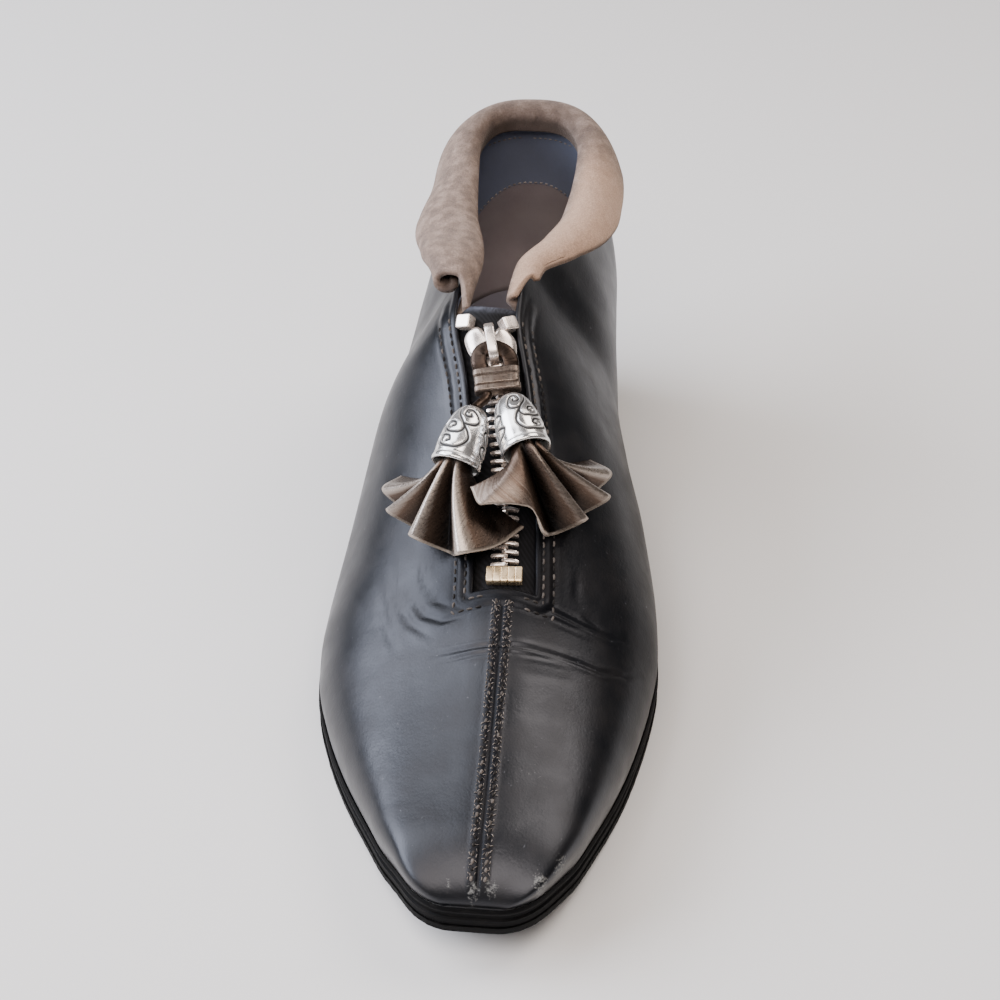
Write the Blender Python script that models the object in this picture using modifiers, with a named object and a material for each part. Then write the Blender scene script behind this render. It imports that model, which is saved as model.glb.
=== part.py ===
import bmesh
import bpy
import numpy as np
from mathutils import Matrix, Vector

# A low front zip ankle boot for the right foot.
# X points to the inner (medial) side, the toe looks along -Y, Z is up and the floor is Z = 0.
# Sizes are in millimetres. A station s is the distance from the toe tip along the foot.
MM = 0.001
LENGTH = 248.0
ORIGIN_S = 123.25
CLEAR = 0.3

WALL = 2.0
SLOT_START = 76.0
THROAT = 146.0
COLLAR_FROM = 150.0
FEATHER_TUCK = 4.0
SIDE_BULGE = 1.2
SEAM_RAISE = 0.5
SEAM_GROOVE = 0.15

OUTSOLE_THICK = 2.6
OUTSOLE_BEVEL = 0.8
SOLE_STACK = 7.0
MIDSOLE_INSET = 0.3
MIDSOLE_STEP = 0.5
MIDSOLE_STEP_AT = 4.7
MIDSOLE_STEP_RAMP = 0.3
WELT_INNER = 0.6
WELT_HEIGHT = 1.4
WELT_BEVEL = 0.4
INSOLE_THICK = 2.0
INSOLE_INSET = 3.0
INSOLE_FROM = 6.0
BREAST = 186.0
LIFT_THICK = 5.0
LIFT_BEVEL = 0.5
HEEL_INSET = 0.5
HEEL_TAPER = 2.4
HEEL_WAIST_AT = 0.4

CUFF_THICK = 1.8
CUFF_START = 148.2
CUFF_LEG_DEPTH = 3.6
CUFF_FLAP_LAG = 12.0
CUFF_LAG_OVER = (0.31, 0.57)
CUFF_MEDIAL_TRIM = 5.0
CUFF_MEDIAL_LAG = 8.0
CUFF_MEDIAL_LAG_OVER = (0.45, 0.9)
CUFF_ROLL_INNER = 1.6
CUFF_ROLL_OUTER = 1.5
CUFF_ROLL_REACH = 0.9
COLLAR_LEAN_FROM = 0.93
TAPE_DEPTH = 2.8
TAPE_THICK = 0.8
TAPE_HALF = 10.6
TAPE_COLUMNS = (-1.0, -0.72, -0.4, 0.0, 0.4, 0.72, 1.0)
TAPE_UNDER_VAMP = 4.0
TAPE_PAST_THROAT = 1.5
CHAIN_HALF = 3.6
TOOTH_PITCH = 2.0
BEAD_LENGTH = 16.5
TASSEL_THICK = 1.0
LACE_RADIUS = 1.3

# Number of stations and the power that gathers them towards the rounded ends, and counts of columns.
VAMP_STATIONS = (13, 1.6)
SLOT_STATIONS = 7
COLLAR_STATIONS = (13, 1.8)
COLLAR_SAMPLES = (200, 2.5)
CUFF_ROWS = 39
SIDE_COLUMNS = 10
CUFF_ROLL_COLUMNS = 7
CUFF_HEM_COLUMNS = 4
TAPE_STATIONS = 13
BEAD_STEPS = 20
TASSEL_ROWS = 7
TASSEL_COLUMNS_PER_FOLD = 4
SMOOTH_BELOW = np.radians(40.0)

# Half widths to each side, the ridge line's offset, half gap of the zip slot or collar, height of the
# slot or collar edge, slope of the skin there, and the two handles that shape each half section.
SECTION = {
    "s":     [0,    10,   22,   45,   60,   74,   88,   102,  128,  148,  166,  178,  192,  222,  248],
    "lat":   [16.0, 18.0, 24.0, 36.0, 42.4, 46.6, 48.0, 47.6, 44.8, 40.8, 37.5, 35.6, 33.5, 31.0, 30.5],
    "med":   [25.0, 26.8, 31.3, 39.5, 43.6, 46.4, 48.0, 47.4, 43.5, 38.5, 34.5, 33.0, 31.5, 30.5, 30.5],
    "axis":  [5.4,  5.4,  5.4,  5.2,  5.1,  5.0,  4.2,  3.0,  -1.5, -6.0, -4.4, -1.6, -0.4, 0.2,  0.0],
    "gap":   [8.0,  8.0,  8.0,  8.0,  8.0,  8.0,  8.0,  8.0,  8.0,  8.6,  8.8,  12.4, 16.4, 18.8, 19.4],
    "edge":  [26.0, 27.5, 29.5, 35.0, 40.0, 46.0, 53.0, 60.0, 74.0, 84.5, 87.0, 87.5, 88.5, 94.0, 100.5],
    "slope": [6.0,  8.0,  10.0, 15.0, 19.0, 24.0, 28.0, 32.0, 38.0, 48.0, 62.0, 67.0, 72.0, 78.0, 80.0],
    "rise":  [11.0, 12.0, 14.0, 17.0, 18.5, 20.0, 22.0, 24.0, 27.0, 30.0, 32.0, 32.5, 33.0, 34.0, 34.0],
    "reach": [12.0, 13.0, 16.0, 20.0, 20.5, 21.0, 21.5, 22.0, 24.0, 25.0, 24.0, 23.0, 22.0, 22.0, 22.0],
}
# Height of the outsole's underside (toe spring, flat tread, arch and heel seat) and how far its edge
# stands out from the feather line.
BOTTOM = {
    "s":     [0,    24,  55,  107, 137, 166,  192,  222,  248],
    "under": [10.4, 3.4, 0.0, 0.0, 5.0, 15.0, 22.5, 25.0, 25.5],
    "edge":  [1.2,  1.2, 1.2, 1.5, 1.7, 1.7,  1.7,  1.8,  1.8],
}
# Curve of the back seam, as a shift along the foot at each height.
BACK = {"z": [28.0, 48.0, 72.0, 96.0], "shift": [-4.0, 0.0, -4.5, -12.0]}
BACK_FROM = 175.0
# Rounding of the plan at both ends: span along the foot and power of the curve.
TOE_FLAT = 0.24
TOE_WIDTH = (22.0, 2.4)
TOE_HEIGHT = (17.0, 2.3)
HEEL_WIDTH = (36.0, 2.15)
COLLAR_WIDTH = (25.0, 2.9)
# The double stitched seam down the vamp: place between slot edge and ridge line, and height.
SEAM = {"cap": [0.36, 0.66, 0.70, 0.92, 1.0], "raise": [0.0, 0.0, SEAM_RAISE, SEAM_RAISE, SEAM_GROOVE]}

# The suede cuff, from the lateral front (-1) round the back (0) to the medial front (1):
# length of the inner leg, rise of the roll, reach of the flap and its drop below the collar edge,
# length of the hem and the angle in degrees that it curls under.
CUFF = {
    "at":   [-1.0, -0.88, -0.77, -0.64, -0.50, -0.35, -0.18, 0.0,  0.18, 0.35, 0.50, 0.64, 0.77, 0.87, 1.0],
    "leg":  [4.0,  5.0,   6.0,   7.0,   7.0,   6.0,   5.0,   4.5,  5.0,  6.0,  7.0,  7.0,  6.0,  5.0,  4.0],
    "rise": [1.8,  2.6,   3.0,   3.2,   3.2,   3.2,   3.2,   3.2,  3.2,  3.2,  3.2,  2.7,  2.0,  1.6,  1.4],
    "out":  [3.0,  7.6,   11.5,  11.5,  9.5,   7.5,   6.5,   6.0,  6.5,  7.2,  8.4,  7.2,  4.2,  2.6,  2.2],
    "drop": [1.0,  1.6,   4.0,   6.0,   7.0,   9.0,   11.0,  12.0, 11.0, 8.6,  5.8,  3.2,  1.6,  0.9,  0.7],
    "hem":  [4.0,  8.6,   7.0,   6.0,   5.0,   4.0,   3.0,   3.0,  3.0,  2.4,  1.8,  1.6,  1.2,  0.9,  0.7],
    "curl": [120,  152,   140,   128,   110,   90,    60,    40,   50,   50,   45,   40,   30,   15,   5],
}

# Bars laid along the instep: station, half width, lower and upper height over the leather.
SLIDER_BODY = {
    "s":    [128.6, 129.4, 131.5, 134.0, 136.6, 138.3, 139.4],
    "half": [3.6,   4.4,   5.0,   6.2,   6.6,   5.2,   3.6],
    "low":  [-2.2,  -2.2,  -2.2,  -2.2,  -2.2,  -2.2,  -2.2],
    "top":  [1.4,   1.8,   1.9,   1.9,   1.9,   1.8,   1.4],
}
SLIDER_BRIDGE = {
    "s":    [129.6, 131.0, 131.6, 136.9, 137.5, 138.8],
    "half": [1.2,   1.2,   1.2,   1.2,   1.2,   1.2],
    "low":  [1.0,   1.0,   5.2,   5.2,   1.0,   1.0],
    "top":  [6.2,   6.7,   6.8,   6.8,   6.7,   6.2],
}
BOTTOM_STOP = {
    "s":    [76.8, 77.4, 80.4, 81.0],
    "half": [4.1,  4.5,  4.5,  4.1],
    "low":  [-2.5, -2.5, -2.5, -2.5],
    "top":  [0.3,  0.7,  0.7,  0.3],
}
TOP_STOP = {
    "s":    [141.4, 141.9, 144.1, 144.6],
    "half": [1.5,   1.9,   1.9,   1.5],
    "low":  [-2.2,  -2.2,  -2.2,  -2.2],
    "top":  [0.6,   1.1,   1.1,   0.6],
}
TOP_STOP_OFFSETS = {"lateral": -6.0, "medial": 6.0}
SLIDER_CHAMFER, BRIDGE_CHAMFER = 0.6, 0.3
BOTTOM_STOP_CHAMFER, TOP_STOP_CHAMFER = 0.5, 0.4
KEEPER_CHAMFER = 0.8
KEEPER = {
    "s":    [122.3, 122.9, 123.8, 126.6, 127.5, 128.1],
    "half": [5.6,   6.1,   5.8,   5.8,   6.1,   5.6],
    "low":  [0.9,   0.6,   0.8,   0.8,   0.6,   0.9],
    "top":  [4.4,   4.9,   4.5,   4.5,   4.9,   4.4],
}
CHAIN_FROM, CHAIN_TO = 81.4, 128.2
CHAIN_LOW, CHAIN_ROOT, CHAIN_CREST = -2.5, -1.3, -0.3
TOOTH = {"share": [0.0, 0.2, 0.6, 0.8], "top": [CHAIN_ROOT, CHAIN_CREST, CHAIN_CREST, CHAIN_ROOT]}

# Routes over the instep as rows of station, offset from the ridge line and height over the leather.
LOOP_ROUTE = [(129.5, -3.3, 3.6), (131.4, -3.5, 4.3), (133.6, -3.1, 4.2), (134.9, -1.7, 3.8),
              (135.4, 0.0, 3.6),
              (134.9, 1.7, 3.8), (133.6, 3.1, 4.2), (131.4, 3.5, 4.3), (129.5, 3.3, 3.6)]
CORD_ROUTES = {
    "lateral": [(121.3, -2.4, 3.3), (120.2, -2.9, 3.8), (118.9, -3.7, 5.2)],
    "medial":  [(121.6, 2.0, 3.2), (121.1, 2.0, 4.0), (120.5, 1.8, 5.3)],
}
BEAD_ENDS = {
    "lateral": [(117.6, -4.4, 6.2), (104.6, -8.6, 7.6)],
    "medial":  [(119.6, 1.8, 6.6), (106.9, 3.6, 8.4)],
}
# Turned profile of a bead: distance below its top and radius, outside and then inside.
BEAD_OUTSIDE = {"down": [0.0, 0.5, 2.0, 4.5, 8.0, 12.0, 15.0, 16.5],
                "r":    [1.8, 2.9, 4.2, 5.2, 6.0, 6.4, 6.5, 6.3]}
BEAD_INSIDE = {"down": [16.5, 12.5, 9.5, 8.0, 0.0], "r": [5.7, 5.5, 4.6, 1.4, 1.4]}
# Hem of each pleated tassel: a row for every ridge and valley of its folds.
HEMS = {
    "lateral": {
        "s": [114.0, 110.0, 105.0, 101.0, 96.0, 90.5, 86.5, 82.0, 83.5, 87.0, 90.5],
        "x": [-26.0, -28.0, -26.5, -26.0, -22.0, -20.0, -13.5, -8.0, -3.5, 1.0, 4.5],
        "h": [1.2, 5.5, 1.1, 7.5, 1.1, 8.0, 1.1, 7.5, 4.0, 1.2, 1.1],
    },
    "medial": {
        "s": [119.0, 115.5, 110.0, 106.0, 100.5, 95.5, 92.0, 88.6, 92.6, 92.4, 97.4],
        "x": [23.0, 25.0, 23.0, 22.5, 18.5, 16.5, 12.0, 7.8, 4.0, -3.6, -5.6],
        "h": [1.2, 5.5, 1.1, 7.5, 1.1, 8.0, 1.2, 5.4, 8.2, 8.8, 8.2],
    },
}
TASSEL_NECK = 3.5
TASSEL_NECK_ARC = np.radians(118.0)
TASSEL_IN_BEAD = 1.8
TASSEL_STRAIGHT = 6.5

BLACK_LEATHER = ((0.010, 0.011, 0.013), 0.34, 0.0)
BLACK_RUBBER = ((0.012, 0.012, 0.012), 0.60, 0.0)
STACKED_LEATHER = ((0.016, 0.013, 0.011), 0.45, 0.0)
TAUPE_SUEDE = ((0.36, 0.29, 0.24), 0.95, 0.0)
BROWN_LINING = ((0.045, 0.032, 0.027), 0.75, 0.0)
BLACK_TAPE = ((0.010, 0.010, 0.011), 0.85, 0.0)
BRIGHT_NICKEL = ((0.72, 0.71, 0.69), 0.22, 1.0)
ANTIQUE_SILVER = ((0.75, 0.74, 0.72), 0.25, 1.0)
GILT_BRASS = ((0.75, 0.58, 0.32), 0.28, 1.0)
BRONZE_LEATHER = ((0.16, 0.125, 0.105), 0.38, 0.55)


def curve_through(x, y, at):
    """Smooth curve through the rows of a table that never overshoots them."""
    x = np.asarray(x, float)
    y = np.asarray(y, float)
    step = np.diff(x)
    slope = np.diff(y) / step
    tangent = np.zeros_like(y)
    tangent[0], tangent[-1] = slope[0], slope[-1]
    before, after = slope[:-1], slope[1:]
    turns = before * after <= 0
    weight = 2.0 * np.where(turns, 0.0, before * after)
    tangent[1:-1] = weight / np.where(turns, 1.0, before + after)
    at = np.clip(np.asarray(at, float), x[0], x[-1])
    k = np.clip(np.searchsorted(x, at, side="right") - 1, 0, len(step) - 1)
    t = (at - x[k]) / step[k]
    return ((1 + 2 * t) * (1 - t) ** 2 * y[k] + t * (1 - t) ** 2 * step[k] * tangent[k]
            + t * t * (3 - 2 * t) * y[k + 1] + t * t * (t - 1) * step[k] * tangent[k + 1])


def column(table, name, at):
    """A named column of a table, read at any place of the table's first column."""
    key = next(iter(table))
    return curve_through(table[key], table[name], at)


def end_round(distance, span, power):
    """0 at an end of the shoe, rising along a rounded curve to 1 after the span."""
    t = np.clip(1.0 - distance / span, 0.0, 1.0)
    return (1.0 - t ** power) ** (1.0 / power)


def smooth_step(value, low, high):
    """0 below low, 1 above high and an S curve between them."""
    t = np.clip((value - low) / (high - low), 0.0, 1.0)
    return t * t * (3.0 - 2.0 * t)


def toe_factor(s):
    return TOE_FLAT + (1.0 - TOE_FLAT) * end_round(s, *TOE_WIDTH)


def plan_factor(s):
    """How far the plan has opened to its full width at a station."""
    return toe_factor(s) * end_round(LENGTH - s, *HEEL_WIDTH)


def half_gap(s):
    """Half width of the slot and collar; the collar closes round the heel squarer than the sole."""
    return column(SECTION, "gap", s) * toe_factor(s) * end_round(LENGTH - s, *COLLAR_WIDTH)


def under(s):
    return column(BOTTOM, "under", s)


def skin(s, side, q):
    """Outer skin of the upper on one side: q runs from the feather line (0) to the edge of the slot or
    collar (1) and on over the instep to the ridge line (2). Rows are stations, columns are q."""
    s = np.asarray(s, float)[:, None]
    q = np.asarray(q, float)[None, :]
    lat, med = column(SECTION, "lat", s), column(SECTION, "med", s)
    middle, half = (med - lat) / 2.0, (med + lat) / 2.0
    opened = plan_factor(s)
    height = end_round(s, *TOE_HEIGHT)
    axis = column(SECTION, "axis", s)
    gap = half_gap(s)
    slope = np.radians(column(SECTION, "slope", s)) * height
    reach = column(SECTION, "reach", s) * opened
    z_foot = under(s) + SOLE_STACK
    z_edge = z_foot + (column(SECTION, "edge", s) - z_foot) * height
    x_handles = (middle + side * (half - FEATHER_TUCK) * opened,
                 middle + side * (half + SIDE_BULGE) * opened,
                 axis + side * (gap + reach * np.cos(slope)),
                 axis + side * gap)
    z_handles = (z_foot,
                 z_foot + column(SECTION, "rise", s) * height,
                 z_edge - reach * np.sin(slope),
                 z_edge)
    t = np.clip(q, 0.0, 1.0)
    weights = ((1 - t) ** 3, 3 * t * (1 - t) ** 2, 3 * t * t * (1 - t), t ** 3)
    x = sum(w * handle for w, handle in zip(weights, x_handles))
    z = sum(w * handle for w, handle in zip(weights, z_handles))
    cap = np.clip(q - 1.0, 0.0, 1.0)
    crown = gap * np.tan(slope) / 2.0 * (1.0 - (1.0 - cap) ** 2)
    x = np.where(q > 1.0, axis + side * gap * (1.0 - cap), x)
    z = np.where(q > 1.0, z_edge + crown, z)
    back = smooth_step(s, BACK_FROM, LENGTH)
    return np.stack([x, s + back * curve_through(BACK["z"], BACK["shift"], z), z], axis=-1)


def instep_point(s, x):
    """Point of the skin at a station and an offset from the ridge line, bridging the zip slot."""
    side = -1.0 if x < 0 else 1.0
    q = np.concatenate([np.linspace(2.0, 1.0, 9), np.linspace(0.99, 0.35, 60)])
    points = skin([s], side, q)[0]
    offset = side * (points[:, 0] - column(SECTION, "axis", [s])[0])
    return np.array([np.interp(abs(x), offset, points[:, k]) for k in range(3)])


def instep_frame(s, x):
    """Point of the instep with its unit directions across, along the foot and outwards."""
    probe = 0.6
    across = instep_point(s, x + probe) - instep_point(s, x - probe)
    along = instep_point(s + probe, x) - instep_point(s - probe, x)
    out = np.cross(across, along)
    out /= np.linalg.norm(out)
    along /= np.linalg.norm(along)
    return instep_point(s, x), np.cross(along, out), along, out


def over_instep(s, x, h):
    """Point at a height over the leather of the instep."""
    point, _, _, out = instep_frame(s, x)
    return point + h * out


def to_metres(points):
    points = np.asarray(points, float)
    return (points - np.array([0.0, ORIGIN_S, 0.0])) * MM


def material(name, finish):
    colour, roughness, metallic = finish
    made = bpy.data.materials.new(name)
    made.use_nodes = True
    shader = made.node_tree.nodes["Principled BSDF"]
    shader.inputs["Base Color"].default_value = (*colour, 1.0)
    shader.inputs["Roughness"].default_value = roughness
    shader.inputs["Metallic"].default_value = metallic
    made.diffuse_color = (*colour, 1.0)
    return made


def add_object(name, data, finish, collection):
    made = bpy.data.objects.new(name, data)
    made.data.materials.append(material(name + "_finish", finish))
    collection.objects.link(made)
    return made


def add_mesh(name, points, faces, finish, collection, closed=True):
    """Mesh object from points in millimetres, with doubles welded and closed bodies facing outwards."""
    mesh = bpy.data.meshes.new(name)
    mesh.from_pydata(to_metres(points).tolist(), [], faces)
    work = bmesh.new()
    work.from_mesh(mesh)
    bmesh.ops.delete(work, geom=[v for v in work.verts if not v.link_faces], context="VERTS")
    bmesh.ops.remove_doubles(work, verts=work.verts, dist=2e-5)
    if closed:
        bmesh.ops.recalc_face_normals(work, faces=work.faces)
    work.to_mesh(mesh)
    work.free()
    mesh.shade_smooth()
    mesh.set_sharp_from_angle(angle=SMOOTH_BELOW)
    return add_object(name, mesh, finish, collection)


def grid_faces(rows, columns, keep=None):
    """Quads of a grid of points, row after row, where keep(row, column) says so."""
    faces = []
    for i in range(rows - 1):
        for j in range(columns - 1):
            if keep is None or keep(i, j):
                a = i * columns + j
                faces.append((a, a + 1, a + columns + 1, a + columns))
    return faces


def ring_faces(rows, columns, caps=True, closed_along=False):
    """Quads round a row of closed sections, with a face over each end unless the row closes on itself."""
    faces = []
    for i in range(rows if closed_along else rows - 1):
        first, second = i * columns, (i + 1) % rows * columns
        for j in range(columns):
            k = (j + 1) % columns
            faces.append((first + j, first + k, second + k, second + j))
    if caps:
        faces.append(tuple(range(columns)))
        faces.append(tuple(range((rows - 1) * columns, rows * columns)))
    return faces


def thicken(made, thickness, offset):
    wall = made.modifiers.new("wall", "SOLIDIFY")
    wall.thickness = thickness * MM
    wall.offset = offset
    wall.use_even_offset = True
    wall.use_quality_normals = True
    return made


def foot_stations():
    """Stations along the upper, closer together at the rounded toe and heel."""
    count, power = VAMP_STATIONS
    vamp = SLOT_START * np.linspace(0.0, 1.0, count) ** power
    slot = np.linspace(SLOT_START, COLLAR_FROM, SLOT_STATIONS)
    count, power = COLLAR_STATIONS
    collar = LENGTH - (LENGTH - COLLAR_FROM) * np.linspace(1.0, 0.0, count) ** power
    return np.concatenate([vamp, slot[1:], collar[1:]]), len(vamp) - 1


def feather_loop(stations, grow):
    """Feather line of the upper grown outwards in plan by a distance: lateral and medial points."""
    grow = np.broadcast_to(grow, len(stations))[:, None]
    sides = []
    for side in (-1.0, 1.0):
        line = skin(stations, side, [0.0])[:, 0, :2]
        run = np.gradient(line, axis=0)
        run /= np.linalg.norm(run, axis=1)[:, None]
        outward = np.stack([run[:, 1], -run[:, 0]], axis=1) * side
        if plan_factor(stations[-1]) < 1e-6:
            outward[-1] = (0.0, 1.0)
        sides.append(line + grow * outward)
    return sides


def sole_piece(name, stations, levels, finish, collection):
    """Plate of the bottom: levels give how far each outline grows from the feather line and its height."""
    count = len(stations)
    points = []
    for grow, height in levels:
        lateral, medial = feather_loop(stations, grow)
        z = np.broadcast_to(height, count)
        left = np.column_stack([lateral, z])
        right = np.column_stack([medial, z])
        points.append(np.concatenate([left[::-1], right]))
    loop = 2 * count
    faces = ring_faces(len(levels), loop, caps=False)
    for base in (0, (len(levels) - 1) * loop):
        for i in range(count - 1):
            faces.append((base + i, base + i + 1, base + loop - 2 - i, base + loop - 1 - i))
    return add_mesh(name, np.concatenate(points), faces, finish, collection)


def bar_on_instep(name, table, offset, corner, finish, collection):
    """Bar along the zip with chamfered edges; a row of the table for each of its sections."""
    sections = []
    for s, half, low, top in zip(table["s"], table["half"], table["low"], table["top"]):
        point, across, _, out = instep_frame(s, offset)
        outline = [(-half, low), (half, low), (half, top), (-half, top)]
        if corner > 0.0:
            outline = [(-half + corner, low), (half - corner, low),
                       (half, low + corner), (half, top - corner),
                       (half - corner, top), (-half + corner, top),
                       (-half, top - corner), (-half, low + corner)]
        sections.append([point + a * across + h * out for a, h in outline])
    faces = ring_faces(len(sections), len(sections[0]))
    return add_mesh(name, np.concatenate(sections), faces, finish, collection)


def lace(name, route, finish, collection):
    """Round leather lace along a route over the instep."""
    curve = bpy.data.curves.new(name, "CURVE")
    curve.dimensions = "3D"
    curve.bevel_depth = LACE_RADIUS * MM
    curve.bevel_resolution = 2
    curve.use_fill_caps = True
    spline = curve.splines.new("POLY")
    places = [over_instep(*row) for row in route]
    spline.points.add(len(places) - 1)
    for point, place in zip(spline.points, to_metres(places)):
        point.co = (*place, 1.0)
    return add_object(name, curve, finish, collection)


def make_bottom(collection):
    stations, _ = foot_stations()
    base = under(stations)
    edge = column(BOTTOM, "edge", stations)
    side = edge - MIDSOLE_INSET
    sole_piece("outsole", stations,
               [(edge - OUTSOLE_BEVEL, base), (edge, base + OUTSOLE_BEVEL), (edge, base + OUTSOLE_THICK)],
               BLACK_RUBBER, collection)
    sole_piece("midsole", stations,
               [(side, base + OUTSOLE_THICK + CLEAR),
                (side, base + MIDSOLE_STEP_AT),
                (side - MIDSOLE_STEP, base + MIDSOLE_STEP_AT + MIDSOLE_STEP_RAMP),
                (side - MIDSOLE_STEP, base + SOLE_STACK - CLEAR)],
               BLACK_LEATHER, collection)
    inside = stations[stations > INSOLE_FROM]
    board = under(inside) + SOLE_STACK
    sole_piece("insole", inside,
               [(-INSOLE_INSET, board), (-INSOLE_INSET, board + INSOLE_THICK)],
               BROWN_LINING, collection)
    make_welt(stations, base, collection)
    make_heel(collection)


def make_welt(stations, base, collection):
    low = base + SOLE_STACK
    edge = column(BOTTOM, "edge", stations)
    ring = []
    for grow, height in ((WELT_INNER, low), (edge, low),
                         (edge, low + WELT_HEIGHT - WELT_BEVEL), (edge - WELT_BEVEL, low + WELT_HEIGHT),
                         (WELT_INNER, low + WELT_HEIGHT)):
        lateral, medial = feather_loop(stations, grow)
        left = np.column_stack([lateral, height])
        right = np.column_stack([medial, height])
        ring.append(np.concatenate([left[::-1], right[:-1]]))
    ring = np.stack(ring, axis=1)
    faces = ring_faces(ring.shape[0], ring.shape[1], caps=False, closed_along=True)
    add_mesh("welt", ring.reshape(-1, 3), faces, BLACK_LEATHER, collection)


def make_heel(collection):
    stations, _ = foot_stations()
    stations = np.concatenate([[BREAST], stations[stations > BREAST + 3.0]])
    seat = under(stations) - CLEAR
    full = column(BOTTOM, "edge", stations) - HEEL_INSET
    foot = full - HEEL_TAPER
    low = LIFT_THICK + CLEAR
    sole_piece("heel", stations,
               [(foot, low),
                (foot + HEEL_TAPER * HEEL_WAIST_AT, low + HEEL_WAIST_AT * (seat - low)),
                (full, seat)],
               STACKED_LEATHER, collection)
    sole_piece("heel_lift", stations,
               [(foot - LIFT_BEVEL, 0.0), (foot, LIFT_BEVEL), (foot, LIFT_THICK)],
               BLACK_RUBBER, collection)


def make_upper(collection):
    """Hollow upper: open under the foot, at the zip slot and at the collar."""
    stations, slot = foot_stations()
    side_q = np.linspace(0.0, 1.0, SIDE_COLUMNS)
    cap_q = 1.0 + np.array(SEAM["cap"])
    lateral = skin(stations, -1.0, np.concatenate([side_q, cap_q]))
    medial = skin(stations, 1.0, np.concatenate([side_q, cap_q[:-1]]))
    raised = np.array(SEAM["raise"])[None, :] * end_round(stations, *TOE_HEIGHT)[:, None]
    lateral[:, len(side_q):, 2] += raised
    medial[:, len(side_q):, 2] += raised[:, :-1]
    points = np.concatenate([lateral, medial[:, ::-1]], axis=1)
    rows, columns = points.shape[:2]
    points[0, :, 0] = np.linspace(points[0, 0, 0], points[0, -1, 0], columns)
    first_cap = len(side_q) - 1
    last_cap = columns - len(side_q)

    def keep(i, j):
        return i < slot or not first_cap <= j < last_cap

    faces = grid_faces(rows, columns, keep)
    upper = add_mesh("upper", points.reshape(-1, 3), faces, BLACK_LEATHER, collection, closed=False)
    return thicken(upper, WALL, -1.0)


def collar_path():
    """Collar edge from the lateral front round the back to the medial front: distance walked, place in
    the cuff's table, points, and unit directions up along the skin and outwards."""
    count, power = COLLAR_SAMPLES
    run = LENGTH - (LENGTH - CUFF_START) * np.linspace(1.0, 0.0, count) ** power
    near, edge = (np.concatenate([skin(run, -1.0, [q])[:, 0], skin(run[::-1], 1.0, [q])[1:, 0]])
                  for q in (COLLAR_LEAN_FROM, 1.0))
    front = (LENGTH - run) / (LENGTH - CUFF_START)
    at = np.concatenate([-front, front[::-1][1:]])
    walked = np.concatenate([[0.0], np.cumsum(np.linalg.norm(np.diff(edge, axis=0), axis=1))])
    rise = edge - near
    rise /= np.linalg.norm(rise, axis=1)[:, None]
    out = np.cross(rise, np.gradient(edge, walked, axis=0))
    out /= np.linalg.norm(out, axis=1)[:, None]
    return walked, at, edge, rise, out


def make_cuff(collection):
    """Suede cuff: its inner leg lines the collar, it rolls over the edge, its flap turns out and the hem
    curls under. The flap starts behind the strip that borders the throat, so its end is an open roll."""
    walked, place, edge, rise_way, out_way = collar_path()
    roll = np.concatenate([[0.0], np.linspace(0.0, 1.0, CUFF_ROLL_COLUMNS), np.ones(CUFF_HEM_COLUMNS)])
    turned = np.zeros_like(roll)
    turned[-CUFF_HEM_COLUMNS:] = np.arange(1, CUFF_HEM_COLUMNS + 1) / CUFF_HEM_COLUMNS
    start = CUFF_FLAP_LAG * smooth_step(roll, *CUFF_LAG_OVER)
    stop = walked[-1] - CUFF_MEDIAL_TRIM - CUFF_MEDIAL_LAG * smooth_step(roll, *CUFF_MEDIAL_LAG_OVER)
    along = start + np.linspace(0.0, 1.0, CUFF_ROWS)[:, None] * (stop - start)
    at = np.interp(along, walked, place)
    leg, rise, out, drop, hem, curl = (column(CUFF, name, at)
                                       for name in ("leg", "rise", "out", "drop", "hem", "curl"))
    bend = np.radians(curl)
    radius = hem / bend
    weights = ((1 - roll) ** 3, 3 * roll * (1 - roll) ** 2, 3 * roll ** 2 * (1 - roll), roll ** 3)
    across = ((weights[2] * CUFF_ROLL_REACH + weights[3]) * out - (weights[0] + weights[1]) * CUFF_LEG_DEPTH
              - radius * (1.0 - np.cos(bend * turned)))
    upward = ((weights[1] * CUFF_ROLL_INNER + weights[2] * CUFF_ROLL_OUTER) * rise - weights[3] * drop
              - radius * np.sin(bend * turned))
    upward[:, 0] -= leg[:, 0]
    edge, rise_way, out_way = (np.stack([np.interp(along, walked, way[:, k]) for k in range(3)], axis=-1)
                               for way in (edge, rise_way, out_way))
    points = edge + across[:, :, None] * out_way + upward[:, :, None] * rise_way
    faces = grid_faces(*points.shape[:2])
    cuff = add_mesh("cuff", points.reshape(-1, 3), faces, TAUPE_SUEDE, collection, closed=False)
    return thicken(cuff, CUFF_THICK, 0.0)


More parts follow.
